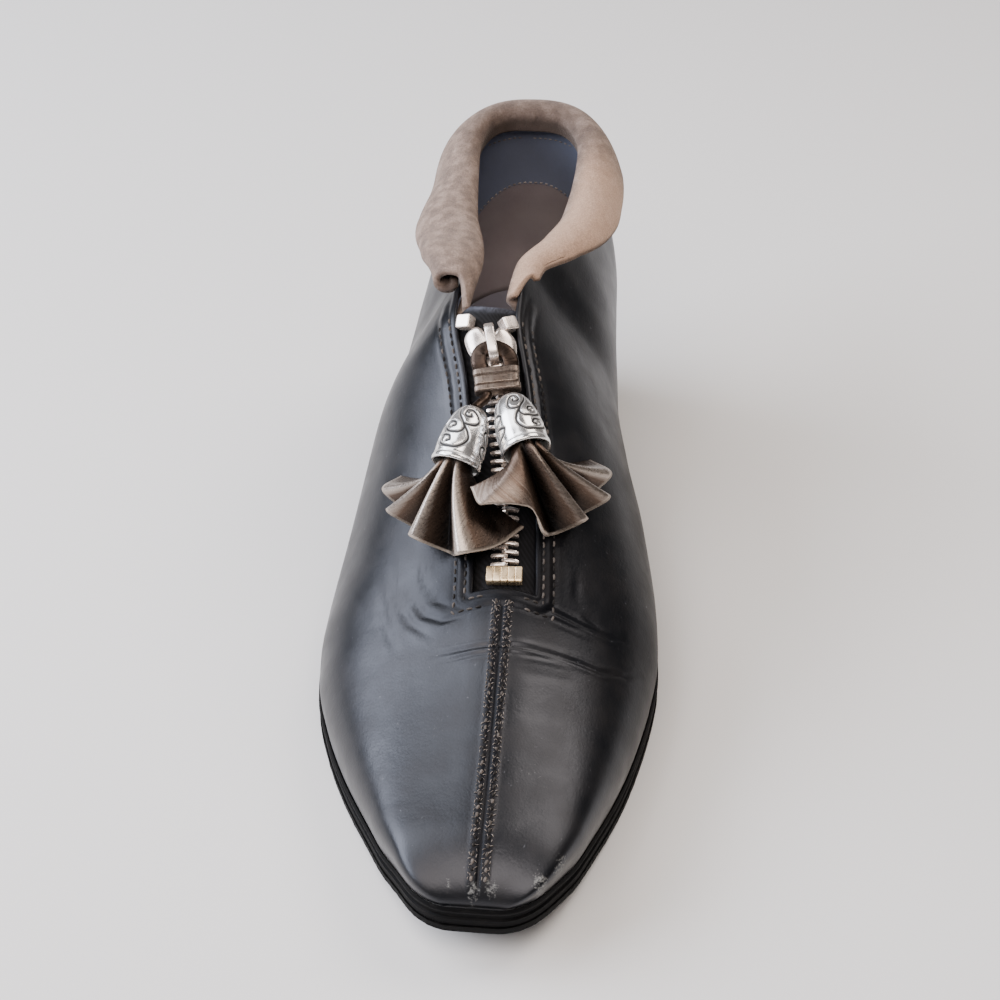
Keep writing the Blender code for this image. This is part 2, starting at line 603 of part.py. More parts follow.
def make_zip(collection, cutters):
    offsets = np.array(TAPE_COLUMNS) * TAPE_HALF
    stations = np.linspace(SLOT_START - TAPE_UNDER_VAMP, THROAT + TAPE_PAST_THROAT, TAPE_STATIONS)
    points = np.array([[over_instep(s, x, -TAPE_DEPTH) for x in offsets] for s in stations])
    faces = grid_faces(*points.shape[:2])
    tape = add_mesh("zip_tape", points.reshape(-1, 3), faces, BLACK_TAPE, collection, closed=False)
    thicken(tape, TAPE_THICK, -1.0)

    teeth = int((CHAIN_TO - CHAIN_FROM) / TOOTH_PITCH)
    chain = {"s": [], "half": [], "low": [], "top": []}
    for tooth in range(teeth):
        for share, top in zip(TOOTH["share"], TOOTH["top"]):
            chain["s"].append(CHAIN_FROM + (tooth + share) * TOOTH_PITCH)
            chain["half"].append(CHAIN_HALF)
            chain["low"].append(CHAIN_LOW)
            chain["top"].append(top)
    bar_on_instep("zip_chain", chain, 0.0, 0.0, BRIGHT_NICKEL, collection)

    slider = bar_on_instep("zip_slider", SLIDER_BODY, 0.0, SLIDER_CHAMFER, BRIGHT_NICKEL, collection)
    bridge = bar_on_instep("slider_bridge", SLIDER_BRIDGE, 0.0, BRIDGE_CHAMFER, BRIGHT_NICKEL, cutters)
    bridge.hide_render = True
    bridge.display_type = "WIRE"
    joined = slider.modifiers.new("bridge", "BOOLEAN")
    joined.operation = "UNION"
    joined.object = bridge

    bar_on_instep("zip_bottom_stop", BOTTOM_STOP, 0.0, BOTTOM_STOP_CHAMFER, GILT_BRASS, collection)
    for name, offset in TOP_STOP_OFFSETS.items():
        bar_on_instep("zip_top_stop_" + name, TOP_STOP, offset, TOP_STOP_CHAMFER, BRIGHT_NICKEL, collection)


def bead_axis(side):
    """Top of a bead and the unit direction from its top to its mouth."""
    top, mouth = (over_instep(*row) for row in BEAD_ENDS[side])
    way = mouth - top
    return top, way / np.linalg.norm(way)


def make_bead(side, collection):
    """Turned bell: hollow at its mouth, with a bore for the lace at its top."""
    down = np.array(BEAD_OUTSIDE["down"] + BEAD_INSIDE["down"])
    radius = np.array(BEAD_OUTSIDE["r"] + BEAD_INSIDE["r"])
    profile = [(r * MM, 0.0, -d * MM) for d, r in zip(down, radius)]
    mesh = bpy.data.meshes.new("bead_" + side)
    count = len(profile)
    mesh.from_pydata(profile, [(k, (k + 1) % count) for k in range(count)], [])
    bead = add_object("bead_" + side, mesh, ANTIQUE_SILVER, collection)
    turn = bead.modifiers.new("turn", "SCREW")
    turn.steps = turn.render_steps = BEAD_STEPS
    turn.use_merge_vertices = True
    turn.merge_threshold = 1e-5
    turn.use_smooth_shade = True
    top, way = bead_axis(side)
    turned = Vector((0.0, 0.0, -1.0)).rotation_difference(Vector(way))
    bead.matrix_world = Matrix.Translation(Vector(to_metres(top))) @ turned.to_matrix().to_4x4()


def make_tassel(side, collection):
    """Pleated tassel: gathered in the bead's mouth and spread over the instep in folds."""
    hem_table = HEMS[side]
    folds = len(hem_table["s"])
    at = np.linspace(0.0, folds - 1.0, TASSEL_COLUMNS_PER_FOLD * (folds - 1) + 1)
    rows = [curve_through(np.arange(folds), hem_table[name], at) for name in ("s", "x", "h")]
    hem = np.array([over_instep(*row) for row in zip(*rows)])
    top, way = bead_axis(side)
    mouth = top + way * (BEAD_LENGTH - TASSEL_IN_BEAD)
    _, _, _, out = instep_frame(*BEAD_ENDS[side][1][:2])
    up = out - way * np.dot(out, way)
    up /= np.linalg.norm(up)
    wide = np.cross(way, up)
    turn = np.linspace(-1.0, 1.0, len(at)) * TASSEL_NECK_ARC
    if np.dot(hem[0] - hem[-1], wide) > 0:
        turn = -turn
    neck = mouth + TASSEL_NECK * (np.sin(turn)[:, None] * wide + np.cos(turn)[:, None] * up)
    straight = neck + way * TASSEL_STRAIGHT
    t = np.linspace(0.0, 1.0, TASSEL_ROWS)[:, None, None]
    points = (1 - t) ** 2 * neck + 2 * t * (1 - t) * straight + t * t * hem
    faces = grid_faces(*points.shape[:2])
    name = "tassel_" + side
    tassel = add_mesh(name, points.reshape(-1, 3), faces, BRONZE_LEATHER, collection, closed=False)
    return thicken(tassel, TASSEL_THICK, 0.0)


def make_pull(collection):
    lace("pull_loop", LOOP_ROUTE, BRONZE_LEATHER, collection)
    bar_on_instep("pull_keeper", KEEPER, 0.0, KEEPER_CHAMFER, BRONZE_LEATHER, collection)
    for side in ("lateral", "medial"):
        lace("pull_cord_" + side, CORD_ROUTES[side], BRONZE_LEATHER, collection)
        make_bead(side, collection)
        make_tassel(side, collection)


def main():
    for old in list(bpy.data.objects):
        bpy.data.objects.remove(old, do_unlink=True)
    boot = bpy.data.collections.new("front_zip_ankle_boot")
    cutters = bpy.data.collections.new("cutters")
    for collection in (boot, cutters):
        bpy.context.scene.collection.children.link(collection)
    make_bottom(boot)
    make_upper(boot)
    make_cuff(boot)
    make_zip(boot, cutters)
    make_pull(boot)


main()
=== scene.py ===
import bmesh
import bpy
import numpy as np
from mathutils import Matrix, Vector


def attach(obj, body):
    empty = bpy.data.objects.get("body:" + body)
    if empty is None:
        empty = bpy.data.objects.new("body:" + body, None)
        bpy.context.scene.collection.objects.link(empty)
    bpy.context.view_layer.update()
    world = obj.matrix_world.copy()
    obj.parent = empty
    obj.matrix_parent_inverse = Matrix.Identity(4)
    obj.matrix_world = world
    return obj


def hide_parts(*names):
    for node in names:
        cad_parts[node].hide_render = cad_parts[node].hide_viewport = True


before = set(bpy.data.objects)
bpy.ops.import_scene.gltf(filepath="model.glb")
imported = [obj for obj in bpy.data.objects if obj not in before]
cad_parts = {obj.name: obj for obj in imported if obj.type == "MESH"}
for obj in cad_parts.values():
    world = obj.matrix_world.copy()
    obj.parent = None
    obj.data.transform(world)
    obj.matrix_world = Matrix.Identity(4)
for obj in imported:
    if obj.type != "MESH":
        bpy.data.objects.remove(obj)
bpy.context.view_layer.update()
print("frame loaded,", len(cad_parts), "nodes")

mm = 0.001
rng = np.random.default_rng(7)

# the last of the boot, in mm: s runs from the toe tip to the heel, x to the inner side, z up
last = {
    "length": 248.0, "originS": 123.25, "slotStart": 76.0, "throat": 146.0, "wall": 2.0,
    "featherTuck": 4.0, "sideBulge": 1.2, "soleStack": 7.0, "backFrom": 175.0, "toeFlat": 0.24,
    # span and power of the superellipse that closes each end
    "toeWidth": (22.0, 2.4), "toeHeight": (17.0, 2.3), "heelWidth": (36.0, 2.15), "collarWidth": (25.0, 2.9),
}
sections = {
    "s":     [0,    10,   22,   45,   60,   74,   88,   102,  128,  148,  166,  178,  192,  222,  248],
    "lat":   [16.0, 18.0, 24.0, 36.0, 42.4, 46.6, 48.0, 47.6, 44.8, 40.8, 37.5, 35.6, 33.5, 31.0, 30.5],
    "med":   [25.0, 26.8, 31.3, 39.5, 43.6, 46.4, 48.0, 47.4, 43.5, 38.5, 34.5, 33.0, 31.5, 30.5, 30.5],
    "axis":  [5.4,  5.4,  5.4,  5.2,  5.1,  5.0,  4.2,  3.0,  -1.5, -6.0, -4.4, -1.6, -0.4, 0.2,  0.0],
    "gap":   [8.0,  8.0,  8.0,  8.0,  8.0,  8.0,  8.0,  8.0,  8.0,  8.6,  8.8,  12.4, 16.4, 18.8, 19.4],
    "edge":  [26.0, 27.5, 29.5, 35.0, 40.0, 46.0, 53.0, 60.0, 74.0, 84.5, 87.0, 87.5, 88.5, 94.0, 100.5],
    "slope": [6.0,  8.0,  10.0, 15.0, 19.0, 24.0, 28.0, 32.0, 38.0, 48.0, 62.0, 67.0, 72.0, 78.0, 80.0],
    "rise":  [11.0, 12.0, 14.0, 17.0, 18.5, 20.0, 22.0, 24.0, 27.0, 30.0, 32.0, 32.5, 33.0, 34.0, 34.0],
    "reach": [12.0, 13.0, 16.0, 20.0, 20.5, 21.0, 21.5, 22.0, 24.0, 25.0, 24.0, 23.0, 22.0, 22.0, 22.0],
}
bottomLine = {
    "s":     [0,    24,  55,  107, 137, 166,  192,  222,  248],
    "under": [10.4, 3.4, 0.0, 0.0, 5.0, 15.0, 22.5, 25.0, 25.5],
    "edge":  [1.2,  1.2, 1.2, 1.5, 1.7, 1.7,  1.7,  1.8,  1.8],
}
backSeam = {"z": [28.0, 48.0, 72.0, 96.0], "shift": [-4.0, 0.0, -4.5, -12.0]}


def curveThrough(x, y, at):
    # smooth curve through table rows without overshoot: Hermite pieces, slopes are harmonic means
    x, y = np.asarray(x, float), np.asarray(y, float)
    step = np.diff(x)
    slope = np.diff(y) / step
    tangent = np.zeros_like(y)
    tangent[0], tangent[-1] = slope[0], slope[-1]
    before, after = slope[:-1], slope[1:]
    turns = before * after <= 0
    tangent[1:-1] = 2 * np.where(turns, 0, before * after) / np.where(turns, 1, before + after)
    at = np.clip(np.asarray(at, float), x[0], x[-1])
    k = np.clip(np.searchsorted(x, at, side="right") - 1, 0, len(step) - 1)
    t = (at - x[k]) / step[k]
    return ((1 + 2 * t) * (1 - t) ** 2 * y[k] + t * (1 - t) ** 2 * step[k] * tangent[k]
            + t * t * (3 - 2 * t) * y[k + 1] + t * t * (t - 1) * step[k] * tangent[k + 1])


def throughRows(rows, count):
    # that curve through each column of a route, at places spread evenly over its rows
    rows = np.asarray(rows, float)
    at = np.linspace(0, len(rows) - 1, count)
    return [curveThrough(np.arange(len(rows)), rows[:, k], at) for k in range(rows.shape[1])]


def column(table, name, at):
    # a table's column read against its first one
    return curveThrough(table[next(iter(table))], table[name], at)


def smooth(value, low, high):
    # 0 below low, 1 above high, an S curve between
    t = np.clip((value - low) / (high - low), 0, 1)
    return t * t * (3 - 2 * t)


def bell(distance, width):
    # 1 at no distance, falling off evenly to both sides
    return np.exp(-(distance / width) ** 2)


def endRound(distance, span, power):
    # superellipse quarter: 0 at an end of the boot, 1 after the span
    t = np.clip(1 - distance / span, 0, 1)
    return (1 - t ** power) ** (1 / power)


def toeFactor(s):
    # blunt toe: a part of the width stays at the tip, the rest opens round
    return last["toeFlat"] + (1 - last["toeFlat"]) * endRound(s, *last["toeWidth"])


def planFactor(s):
    # share of the full width, closed at the toe and at the heel
    return toeFactor(s) * endRound(last["length"] - s, *last["heelWidth"])


def halfGap(s):
    # half width of slot and collar; the collar closes round the heel squarer than the sole does
    return column(sections, "gap", s) * toeFactor(s) * endRound(last["length"] - s, *last["collarWidth"])


def under(s):
    # height of the underside over the floor
    return column(bottomLine, "under", s)


def axisOf(s):
    # x of the ridge line
    return column(sections, "axis", s)


def skin(s, side, q):
    # half section: a cubic Bezier from the feather line (q 0) to the slot or collar edge (q 1),
    # then a parabola to the ridge (q 2)
    s, side, q = np.broadcast_arrays(*(np.asarray(v, float) for v in (s, side, q)))
    lat, med = column(sections, "lat", s), column(sections, "med", s)
    middle, half = (med - lat) / 2, (med + lat) / 2
    opened, height = planFactor(s), endRound(s, *last["toeHeight"])
    axis, gap = axisOf(s), halfGap(s)
    slope = np.radians(column(sections, "slope", s)) * height
    reach = column(sections, "reach", s) * opened
    foot = under(s) + last["soleStack"]
    edge = foot + (column(sections, "edge", s) - foot) * height
    t = np.clip(q, 0, 1)
    weights = ((1 - t) ** 3, 3 * t * (1 - t) ** 2, 3 * t * t * (1 - t), t ** 3)
    xs = (middle + side * (half - last["featherTuck"]) * opened,
          middle + side * (half + last["sideBulge"]) * opened,
          axis + side * (gap + reach * np.cos(slope)), axis + side * gap)
    zs = (foot, foot + column(sections, "rise", s) * height, edge - reach * np.sin(slope), edge)
    x = sum(w * v for w, v in zip(weights, xs))
    z = sum(w * v for w, v in zip(weights, zs))
    cap = np.clip(q - 1, 0, 1)
    x = np.where(q > 1, axis + side * gap * (1 - cap), x)
    z = np.where(q > 1, edge + gap * np.tan(slope) / 2 * (1 - (1 - cap) ** 2), z)
    back = smooth(s, last["backFrom"], last["length"])
    return np.stack([x, s + back * curveThrough(backSeam["z"], backSeam["shift"], z), z], -1)


def findPlace(s, side, lowest, short):
    # q of the half section up to which the test "still short of the goal" holds, found by halving
    halvings = 26
    low, high = np.full(s.shape, lowest), np.ones(s.shape)
    for _ in range(halvings):
        mid = (low + high) / 2
        before = short(skin(s, side, mid))
        low, high = np.where(before, mid, low), np.where(before, high, mid)
    return low


def instep(s, x):
    # point of the leather at an offset from the ridge line
    s, x = np.broadcast_arrays(np.asarray(s, float), np.asarray(x, float))
    side = np.where(x < 0, -1.0, 1.0)
    gap = halfGap(s)
    q = findPlace(s, side, 0.3, lambda point: np.abs(point[..., 0] - axisOf(s)) > np.abs(x))
    return skin(s, side, np.where(np.abs(x) <= gap, 2 - np.abs(x) / gap, q))


def unit(v):
    # vectors over their own length
    return v / np.maximum(np.linalg.norm(v, axis=-1, keepdims=True), 1e-9)


def instepFrame(s, x):
    # point, and unit directions across, along the foot and outwards, from differences a little each way
    near = 0.6
    s, x = np.broadcast_arrays(np.asarray(s, float), np.asarray(x, float))
    across = instep(s, x + near) - instep(s, x - near)
    along = unit(instep(s + near, x) - instep(s - near, x))
    out = unit(np.cross(across, along))
    return instep(s, x), np.cross(along, out), along, out


def overInstep(s, x, h):
    # a point of the leather moved straight out by a height
    point, _, _, out = instepFrame(s, x)
    return point + np.asarray(h, float)[..., None] * out


def walkedLength(path):
    # running length along a path of points
    return np.concatenate([[0], np.cumsum(np.linalg.norm(np.diff(path, axis=0), axis=1))])


def gridFaces(rows, cols, wrapRows=False, wrapCols=False):
    # quads between neighbouring rows and columns of a grid
    i = np.arange(rows if wrapRows else rows - 1)[:, None]
    j = np.arange(cols if wrapCols else cols - 1)[None, :]
    i2, j2 = (i + 1) % rows, (j + 1) % cols
    return np.stack([i * cols + j, i * cols + j2, i2 * cols + j2, i2 * cols + j], -1).reshape(-1, 4)


def repeatFaces(rows, cols, count):
    # faces of equal tubes whose points follow each other
    base = gridFaces(rows, cols, wrapCols=True)
    return (base[None] + (np.arange(count) * rows * cols)[:, None, None]).reshape(-1, 4)


def gridNormals(points):
    # cross product of the steps along the two directions of a grid
    return unit(np.cross(np.gradient(points, axis=0), np.gradient(points, axis=1)))


def makePiece(name, points, faces, finishes, nodes=(), values=None, uv=None, closed=True,
              outFrom=None, sharp=50):
    # points in mm become a mesh at the origin; doubles are merged, closed shells face outwards
    mergeWithin, sliver = 2e-6, 1e-7
    mesh = bpy.data.meshes.new(name)
    flat = np.asarray(points, float).reshape(-1, 3)
    mesh.from_pydata(((flat - [0, last["originS"], 0]) * mm).tolist(), [], np.asarray(faces).tolist())
    for key, value in (values or {}).items():
        layer = mesh.attributes.new(key, "FLOAT", "POINT")
        layer.data.foreach_set("value", np.asarray(value, np.float32).ravel())
    if uv is not None:
        corner = np.empty(len(mesh.loops), np.int32)
        mesh.loops.foreach_get("vertex_index", corner)
        layer = mesh.uv_layers.new(name="UVMap")
        layer.data.foreach_set("uv", np.asarray(uv, np.float32).reshape(-1, 2)[corner].ravel())
    work = bmesh.new()
    work.from_mesh(mesh)
    bmesh.ops.delete(work, geom=[v for v in work.verts if not v.link_faces], context="VERTS")
    bmesh.ops.remove_doubles(work, verts=work.verts, dist=mergeWithin)
    bmesh.ops.dissolve_degenerate(work, edges=work.edges, dist=sliver)
    if closed:
        bmesh.ops.recalc_face_normals(work, faces=work.faces)
    elif outFrom is not None:
        centre = Vector((np.asarray(outFrom, float) - [0, last["originS"], 0]) * mm)
        if sum(f.normal.dot(f.calc_center_median() - centre) for f in work.faces) < 0:
            bmesh.ops.reverse_faces(work, faces=work.faces)
    work.to_mesh(mesh)
    work.free()
    mesh.shade_smooth()
    if sharp:
        mesh.set_sharp_from_angle(angle=np.radians(sharp))
    for finish in finishes:
        mesh.materials.append(finish)
    piece = bpy.data.objects.new(name, mesh)
    bpy.context.scene.collection.objects.link(piece)
    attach(piece, "root")
    if nodes:
        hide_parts(*nodes)
    return piece


def thicken(piece, thickness, offset, inside=0, rim=0):
    # a sheet becomes a wall; inside and rim pick its finishes
    wall = piece.modifiers.new("wall", "SOLIDIFY")
    wall.thickness, wall.offset = thickness * mm, offset
    wall.use_even_offset = wall.use_quality_normals = True
    wall.material_offset, wall.material_offset_rim = inside, rim


def closeTube(rings, centres):
    # rings along a tube get one more at each end, drawn together to a point
    shape = rings[..., :1, :, :].shape
    ends = centres[..., :1, None, :], centres[..., -1:, None, :]
    first, final = (np.broadcast_to(end, shape) for end in ends)
    return np.concatenate([first, rings, final], -3)


def sweep(path, wide, high, outline):
    # an outline of (wide, high) offsets carried along a path
    rings = path[:, None] + outline[None, :, :1] * wide[:, None] + outline[None, :, 1:] * high[:, None]
    return closeTube(rings, path), gridFaces(len(path) + 2, len(outline), wrapCols=True)


def roundedOutline(halfWide, halfHigh, power, count):
    # superellipse: 2 is round, larger is boxier
    a = np.linspace(0, 2 * np.pi, count, endpoint=False)
    wide, high = (np.sign(v) * np.abs(v) ** (2 / power) for v in (np.cos(a), np.sin(a)))
    return np.stack([halfWide * wide, halfHigh * high], 1)


def nearLine(points, line):
    # distance from points to a polyline, and how far along it the nearest place is (0 to 1)
    a, b = np.asarray(line[:-1], float), np.asarray(line[1:], float)
    run = b - a
    length = np.linalg.norm(run, axis=1)
    ahead = points[:, None] - a[None]
    t = np.clip((ahead * run).sum(-1) / length ** 2, 0, 1)
    gap = np.linalg.norm(ahead - t[..., None] * run, axis=-1)
    k = gap.argmin(1)
    rows = np.arange(len(points))
    start = np.concatenate([[0], np.cumsum(length)])[:-1]
    return gap[rows, k], (start[k] + t[rows, k] * length[k]) / length.sum()


def linear(hexText):
    # sRGB hex to linear colour
    c = np.array([int(hexText[i:i + 2], 16) for i in (0, 2, 4)]) / 255
    return (*np.where(c <= 0.04045, c / 12.92, ((c + 0.055) / 1.055) ** 2.4), 1.0)


def addNode(tree, kind, values=None, links=None, **props):
    # a shader node with its properties, socket values and links, sockets by name or number
    node = tree.nodes.new("ShaderNode" + kind)
    for key, value in props.items():
        setattr(node, key, value)
    for key, value in (values or {}).items():
        node.inputs[key].default_value = value
    for key, source in (links or {}).items():
        tree.links.new(source, node.inputs[key])
    return node


def newFinish(name, values):
    # a material, its node tree and its shader with constant values set
    made = bpy.data.materials.new(name)
    made.use_nodes = True
    shader = made.node_tree.nodes["Principled BSDF"]
    for key, value in values.items():
        shader.inputs[key].default_value = value
    return made, made.node_tree, shader


def wire(tree, shader, sources):
    # outputs of nodes to sockets of the shader
    for socket, source in sources.items():
        tree.links.new(source, shader.inputs[socket])


# aniline calf, dyed black and polished: soft broad sheen, fine pores, grey where it is scuffed,
# matt where "dull" is high, which paints shade and a dark reflection on the upper; sizes of its patterns in
# mm
calf = {
    "black": "0c0d10", "worn": "8a8a86", "warm": "191615", "speck": "55565a", "sheen": "eef1fa",
    "rough": 0.36, "wornRough": 0.75, "polish": 0.5, "dullPolish": 0.05,
    "pore": 0.55, "grit": 0.8, "specks": 1.6, "wave": 9.0,
}


def blackCalf():
    made, tree, shader = newFinish("blackAnilineCalf", {"IOR": 1.5, "Specular Tint": linear(calf["sheen"])})
    place = {"Vector": addNode(tree, "TexCoord").outputs["Object"]}
    pores = addNode(tree, "TexVoronoi", {"Scale": 1 / (calf["pore"] * mm), "Randomness": 1.0}, place,
                    feature="SMOOTH_F1")
    wave = addNode(tree, "TexNoise", {"Scale": 1 / (calf["wave"] * mm), "Detail": 3.0}, place)
    speck = addNode(tree, "TexNoise", {"Scale": 1 / (calf["specks"] * mm), "Detail": 2.0, "Roughness": 0.7},
                    place)
    specks = addNode(tree, "MapRange", {"From Min": 0.71, "From Max": 0.78, "To Max": 0.55},
                     {"Value": speck.outputs["Fac"]})
    wear = addNode(tree, "Attribute", attribute_name="wear")
    grit = addNode(tree, "TexNoise", {"Scale": 1 / (calf["grit"] * mm), "Detail": 4.0, "Roughness": 0.75},
                   place)
    worn = addNode(tree, "Math", links={0: wear.outputs["Fac"], 1: grit.outputs["Fac"]}, operation="MULTIPLY")
    worn = addNode(tree, "MapRange", {"From Min": 0.36, "From Max": 0.52, "To Max": 0.8},
                   {"Value": worn.outputs[0]})
    warm = addNode(tree, "MapRange", {"From Min": 0.45, "From Max": 0.75, "To Max": 0.6},
                   {"Value": wave.outputs["Fac"]})
    tone = addNode(tree, "Mix", {6: linear(calf["black"]), 7: linear(calf["warm"])},
                   {0: warm.outputs[0]}, data_type="RGBA")
    for name, amount in (("speck", specks), ("worn", worn)):
        tone = addNode(tree, "Mix", {7: linear(calf[name])}, {0: amount.outputs[0], 6: tone.outputs[2]},
                       data_type="RGBA")
    # "dull" turns the sheen down: painted shade and a painted dark reflection where the upper sets it
    dull = addNode(tree, "Attribute", attribute_name="dull")
    polish = addNode(tree, "MapRange", {"To Min": calf["polish"], "To Max": calf["dullPolish"]},
                     {"Value": dull.outputs["Fac"]})
    rough = addNode(tree, "MapRange", {"From Min": 0.3, "From Max": 0.7, "To Min": calf["rough"] - 0.05,
                                       "To Max": calf["rough"] + 0.06}, {"Value": wave.outputs["Fac"]})
    rough = addNode(tree, "MapRange", {"To Max": calf["wornRough"]},
                    {"Value": worn.outputs[0], "To Min": rough.outputs[0]})
    fine = addNode(tree, "Bump", {"Strength": 0.10, "Distance": 0.0002},
                   {"Height": pores.outputs["Distance"]})
    soft = addNode(tree, "Bump", {"Strength": 0.12, "Distance": 0.0012},
                   {"Height": wave.outputs["Fac"], "Normal": fine.outputs["Normal"]})
    wire(tree, shader, {"Base Color": tone.outputs[2], "Specular IOR Level": polish.outputs[0],
                        "Roughness": rough.outputs[0], "Normal": soft.outputs["Normal"]})
    return made


# split suede, brushed: matt nap that shades light and dark in patches where it was stroked; sizes in mm
suede = {
    "light": "9b887d", "mid": "867469", "dark": "71625a", "paintedShade": "3a302b", "tan": "cba78d",
    "sheen": "e0d2c6", "patch": 3.4, "nap": 0.45,
}


def taupeSuede():
    made, tree, shader = newFinish("taupeSplitSuede", {
        "Roughness": 0.95, "Specular IOR Level": 0.15, "Sheen Weight": 0.35, "Sheen Roughness": 0.5,
        "Sheen Tint": linear(suede["sheen"])})
    place = {"Vector": addNode(tree, "TexCoord").outputs["Object"]}
    patch = addNode(tree, "TexNoise", {"Scale": 1 / (suede["patch"] * mm), "Detail": 5.0, "Roughness": 0.55},
                    place)
    nap = addNode(tree, "TexNoise", {"Scale": 1 / (suede["nap"] * mm), "Detail": 3.0, "Roughness": 0.7},
                  place)
    low = addNode(tree, "MapRange", {"From Min": 0.34, "From Max": 0.52}, {"Value": patch.outputs["Fac"]})
    high = addNode(tree, "MapRange", {"From Min": 0.50, "From Max": 0.66}, {"Value": patch.outputs["Fac"]})
    tone = addNode(tree, "Mix", {6: linear(suede["dark"]), 7: linear(suede["mid"])}, {0: low.outputs[0]},
                   data_type="RGBA")
    tone = addNode(tree, "Mix", {7: linear(suede["light"])}, {0: high.outputs[0], 6: tone.outputs[2]},
                   data_type="RGBA")
    # a lighter, warmer tan over the medial flap, partly the suede's own colour and partly painted light
    tanAndLight = addNode(tree, "Attribute", attribute_name="tan")
    tone = addNode(tree, "Mix", {7: linear(suede["tan"])}, {0: tanAndLight.outputs["Fac"], 6: tone.outputs[2]},
                   data_type="RGBA")
    hairs = addNode(tree, "MapRange", {"From Min": 0.3, "From Max": 0.7, "To Min": 0.7, "To Max": 1.25},
                    {"Value": nap.outputs["Fac"]})
    tone = addNode(tree, "VectorMath", links={0: tone.outputs[2], 1: hairs.outputs[0]}, operation="MULTIPLY")
    # painted shade from the cuff: under the curled hem, on the leg at the back and inside the roll
    dark = addNode(tree, "Attribute", attribute_name="paintedShade")
    tone = addNode(tree, "Mix", {7: linear(suede["paintedShade"])}, {0: dark.outputs["Fac"], 6: tone.outputs[0]},
                   data_type="RGBA")
    bump = addNode(tree, "Bump", {"Strength": 0.8, "Distance": 0.0004}, {"Height": nap.outputs["Fac"]})
    bump = addNode(tree, "Bump", {"Strength": 0.25, "Distance": 0.0015},
                   {"Height": patch.outputs["Fac"], "Normal": bump.outputs["Normal"]})
    wire(tree, shader, {"Base Color": tone.outputs[2], "Normal": bump.outputs["Normal"]})
    return made


# lambskin with a bronze foil: smooth metallic panels, pale raw cut edges; "tone" runs dark to bright, and on
# the tassels it is painted shade in the pleats and a painted highlight on the crests; streaks and crackle in
# mm, as its UV map is
foil = {
    "deep": "080605", "bronze": "4f4036", "bright": "c0b5aa", "raw": "b3a596", "streak": 0.8, "crackle": 0.6,
}


def bronzeFoil():
    made, tree, shader = newFinish("bronzeFoiledLambskin", {"Specular IOR Level": 0.5})
    place = {"Vector": addNode(tree, "UVMap").outputs[0]}
    long = addNode(tree, "Mapping", {"Scale": (1.0, 0.06, 1.0)}, place)
    streak = addNode(tree, "TexNoise", {"Scale": 1 / foil["streak"], "Detail": 3.0, "Roughness": 0.6},
                     {"Vector": long.outputs[0]})
    crackle = addNode(tree, "TexNoise", {"Scale": 1 / foil["crackle"], "Detail": 3.0, "Roughness": 0.7},
                      place)
    tone = addNode(tree, "Attribute", attribute_name="tone")
    shift = addNode(tree, "MapRange", {"From Min": 0.3, "From Max": 0.7, "To Min": -0.06, "To Max": 0.06},
                    {"Value": streak.outputs["Fac"]})
    level = addNode(tree, "Math", links={0: tone.outputs["Fac"], 1: shift.outputs[0]}, operation="ADD")
    low = addNode(tree, "MapRange", {"From Min": 0.0, "From Max": 0.5}, {"Value": level.outputs[0]})
    high = addNode(tree, "MapRange", {"From Min": 0.5, "From Max": 1.0}, {"Value": level.outputs[0]})
    raw = addNode(tree, "Attribute", attribute_name="raw")
    colour = addNode(tree, "Mix", {6: linear(foil["deep"]), 7: linear(foil["bronze"])}, {0: low.outputs[0]},
                     data_type="RGBA")
    for name, amount in (("bright", high.outputs[0]), ("raw", raw.outputs["Fac"])):
        colour = addNode(tree, "Mix", {7: linear(foil[name])}, {0: amount, 6: colour.outputs[2]},
                         data_type="RGBA")
    metal = addNode(tree, "MapRange", {"To Min": 0.8, "To Max": 0.1}, {"Value": raw.outputs["Fac"]})
    rough = addNode(tree, "MapRange", {"From Min": 0.3, "From Max": 0.7, "To Min": 0.22, "To Max": 0.4},
                    {"Value": crackle.outputs["Fac"]})
    bump = addNode(tree, "Bump", {"Strength": 0.2, "Distance": 0.0003}, {"Height": crackle.outputs["Fac"]})
    bump = addNode(tree, "Bump", {"Strength": 0.03, "Distance": 0.0004},
                   {"Height": streak.outputs["Fac"], "Normal": bump.outputs["Normal"]})
    wire(tree, shader, {"Base Color": colour.outputs[2], "Metallic": metal.outputs[0],
                        "Roughness": rough.outputs[0], "Normal": bump.outputs["Normal"]})
    return made


# plated metal, tumbled bright: small scratches soften the mirror; "recess" fills with black antiquing
plating = {
    "metallic": 0.8, "antiquedMetallic": 0.88, "antiquing": "0b0a0a", "antiquingRough": 0.6, "cloud": 3.0,
}


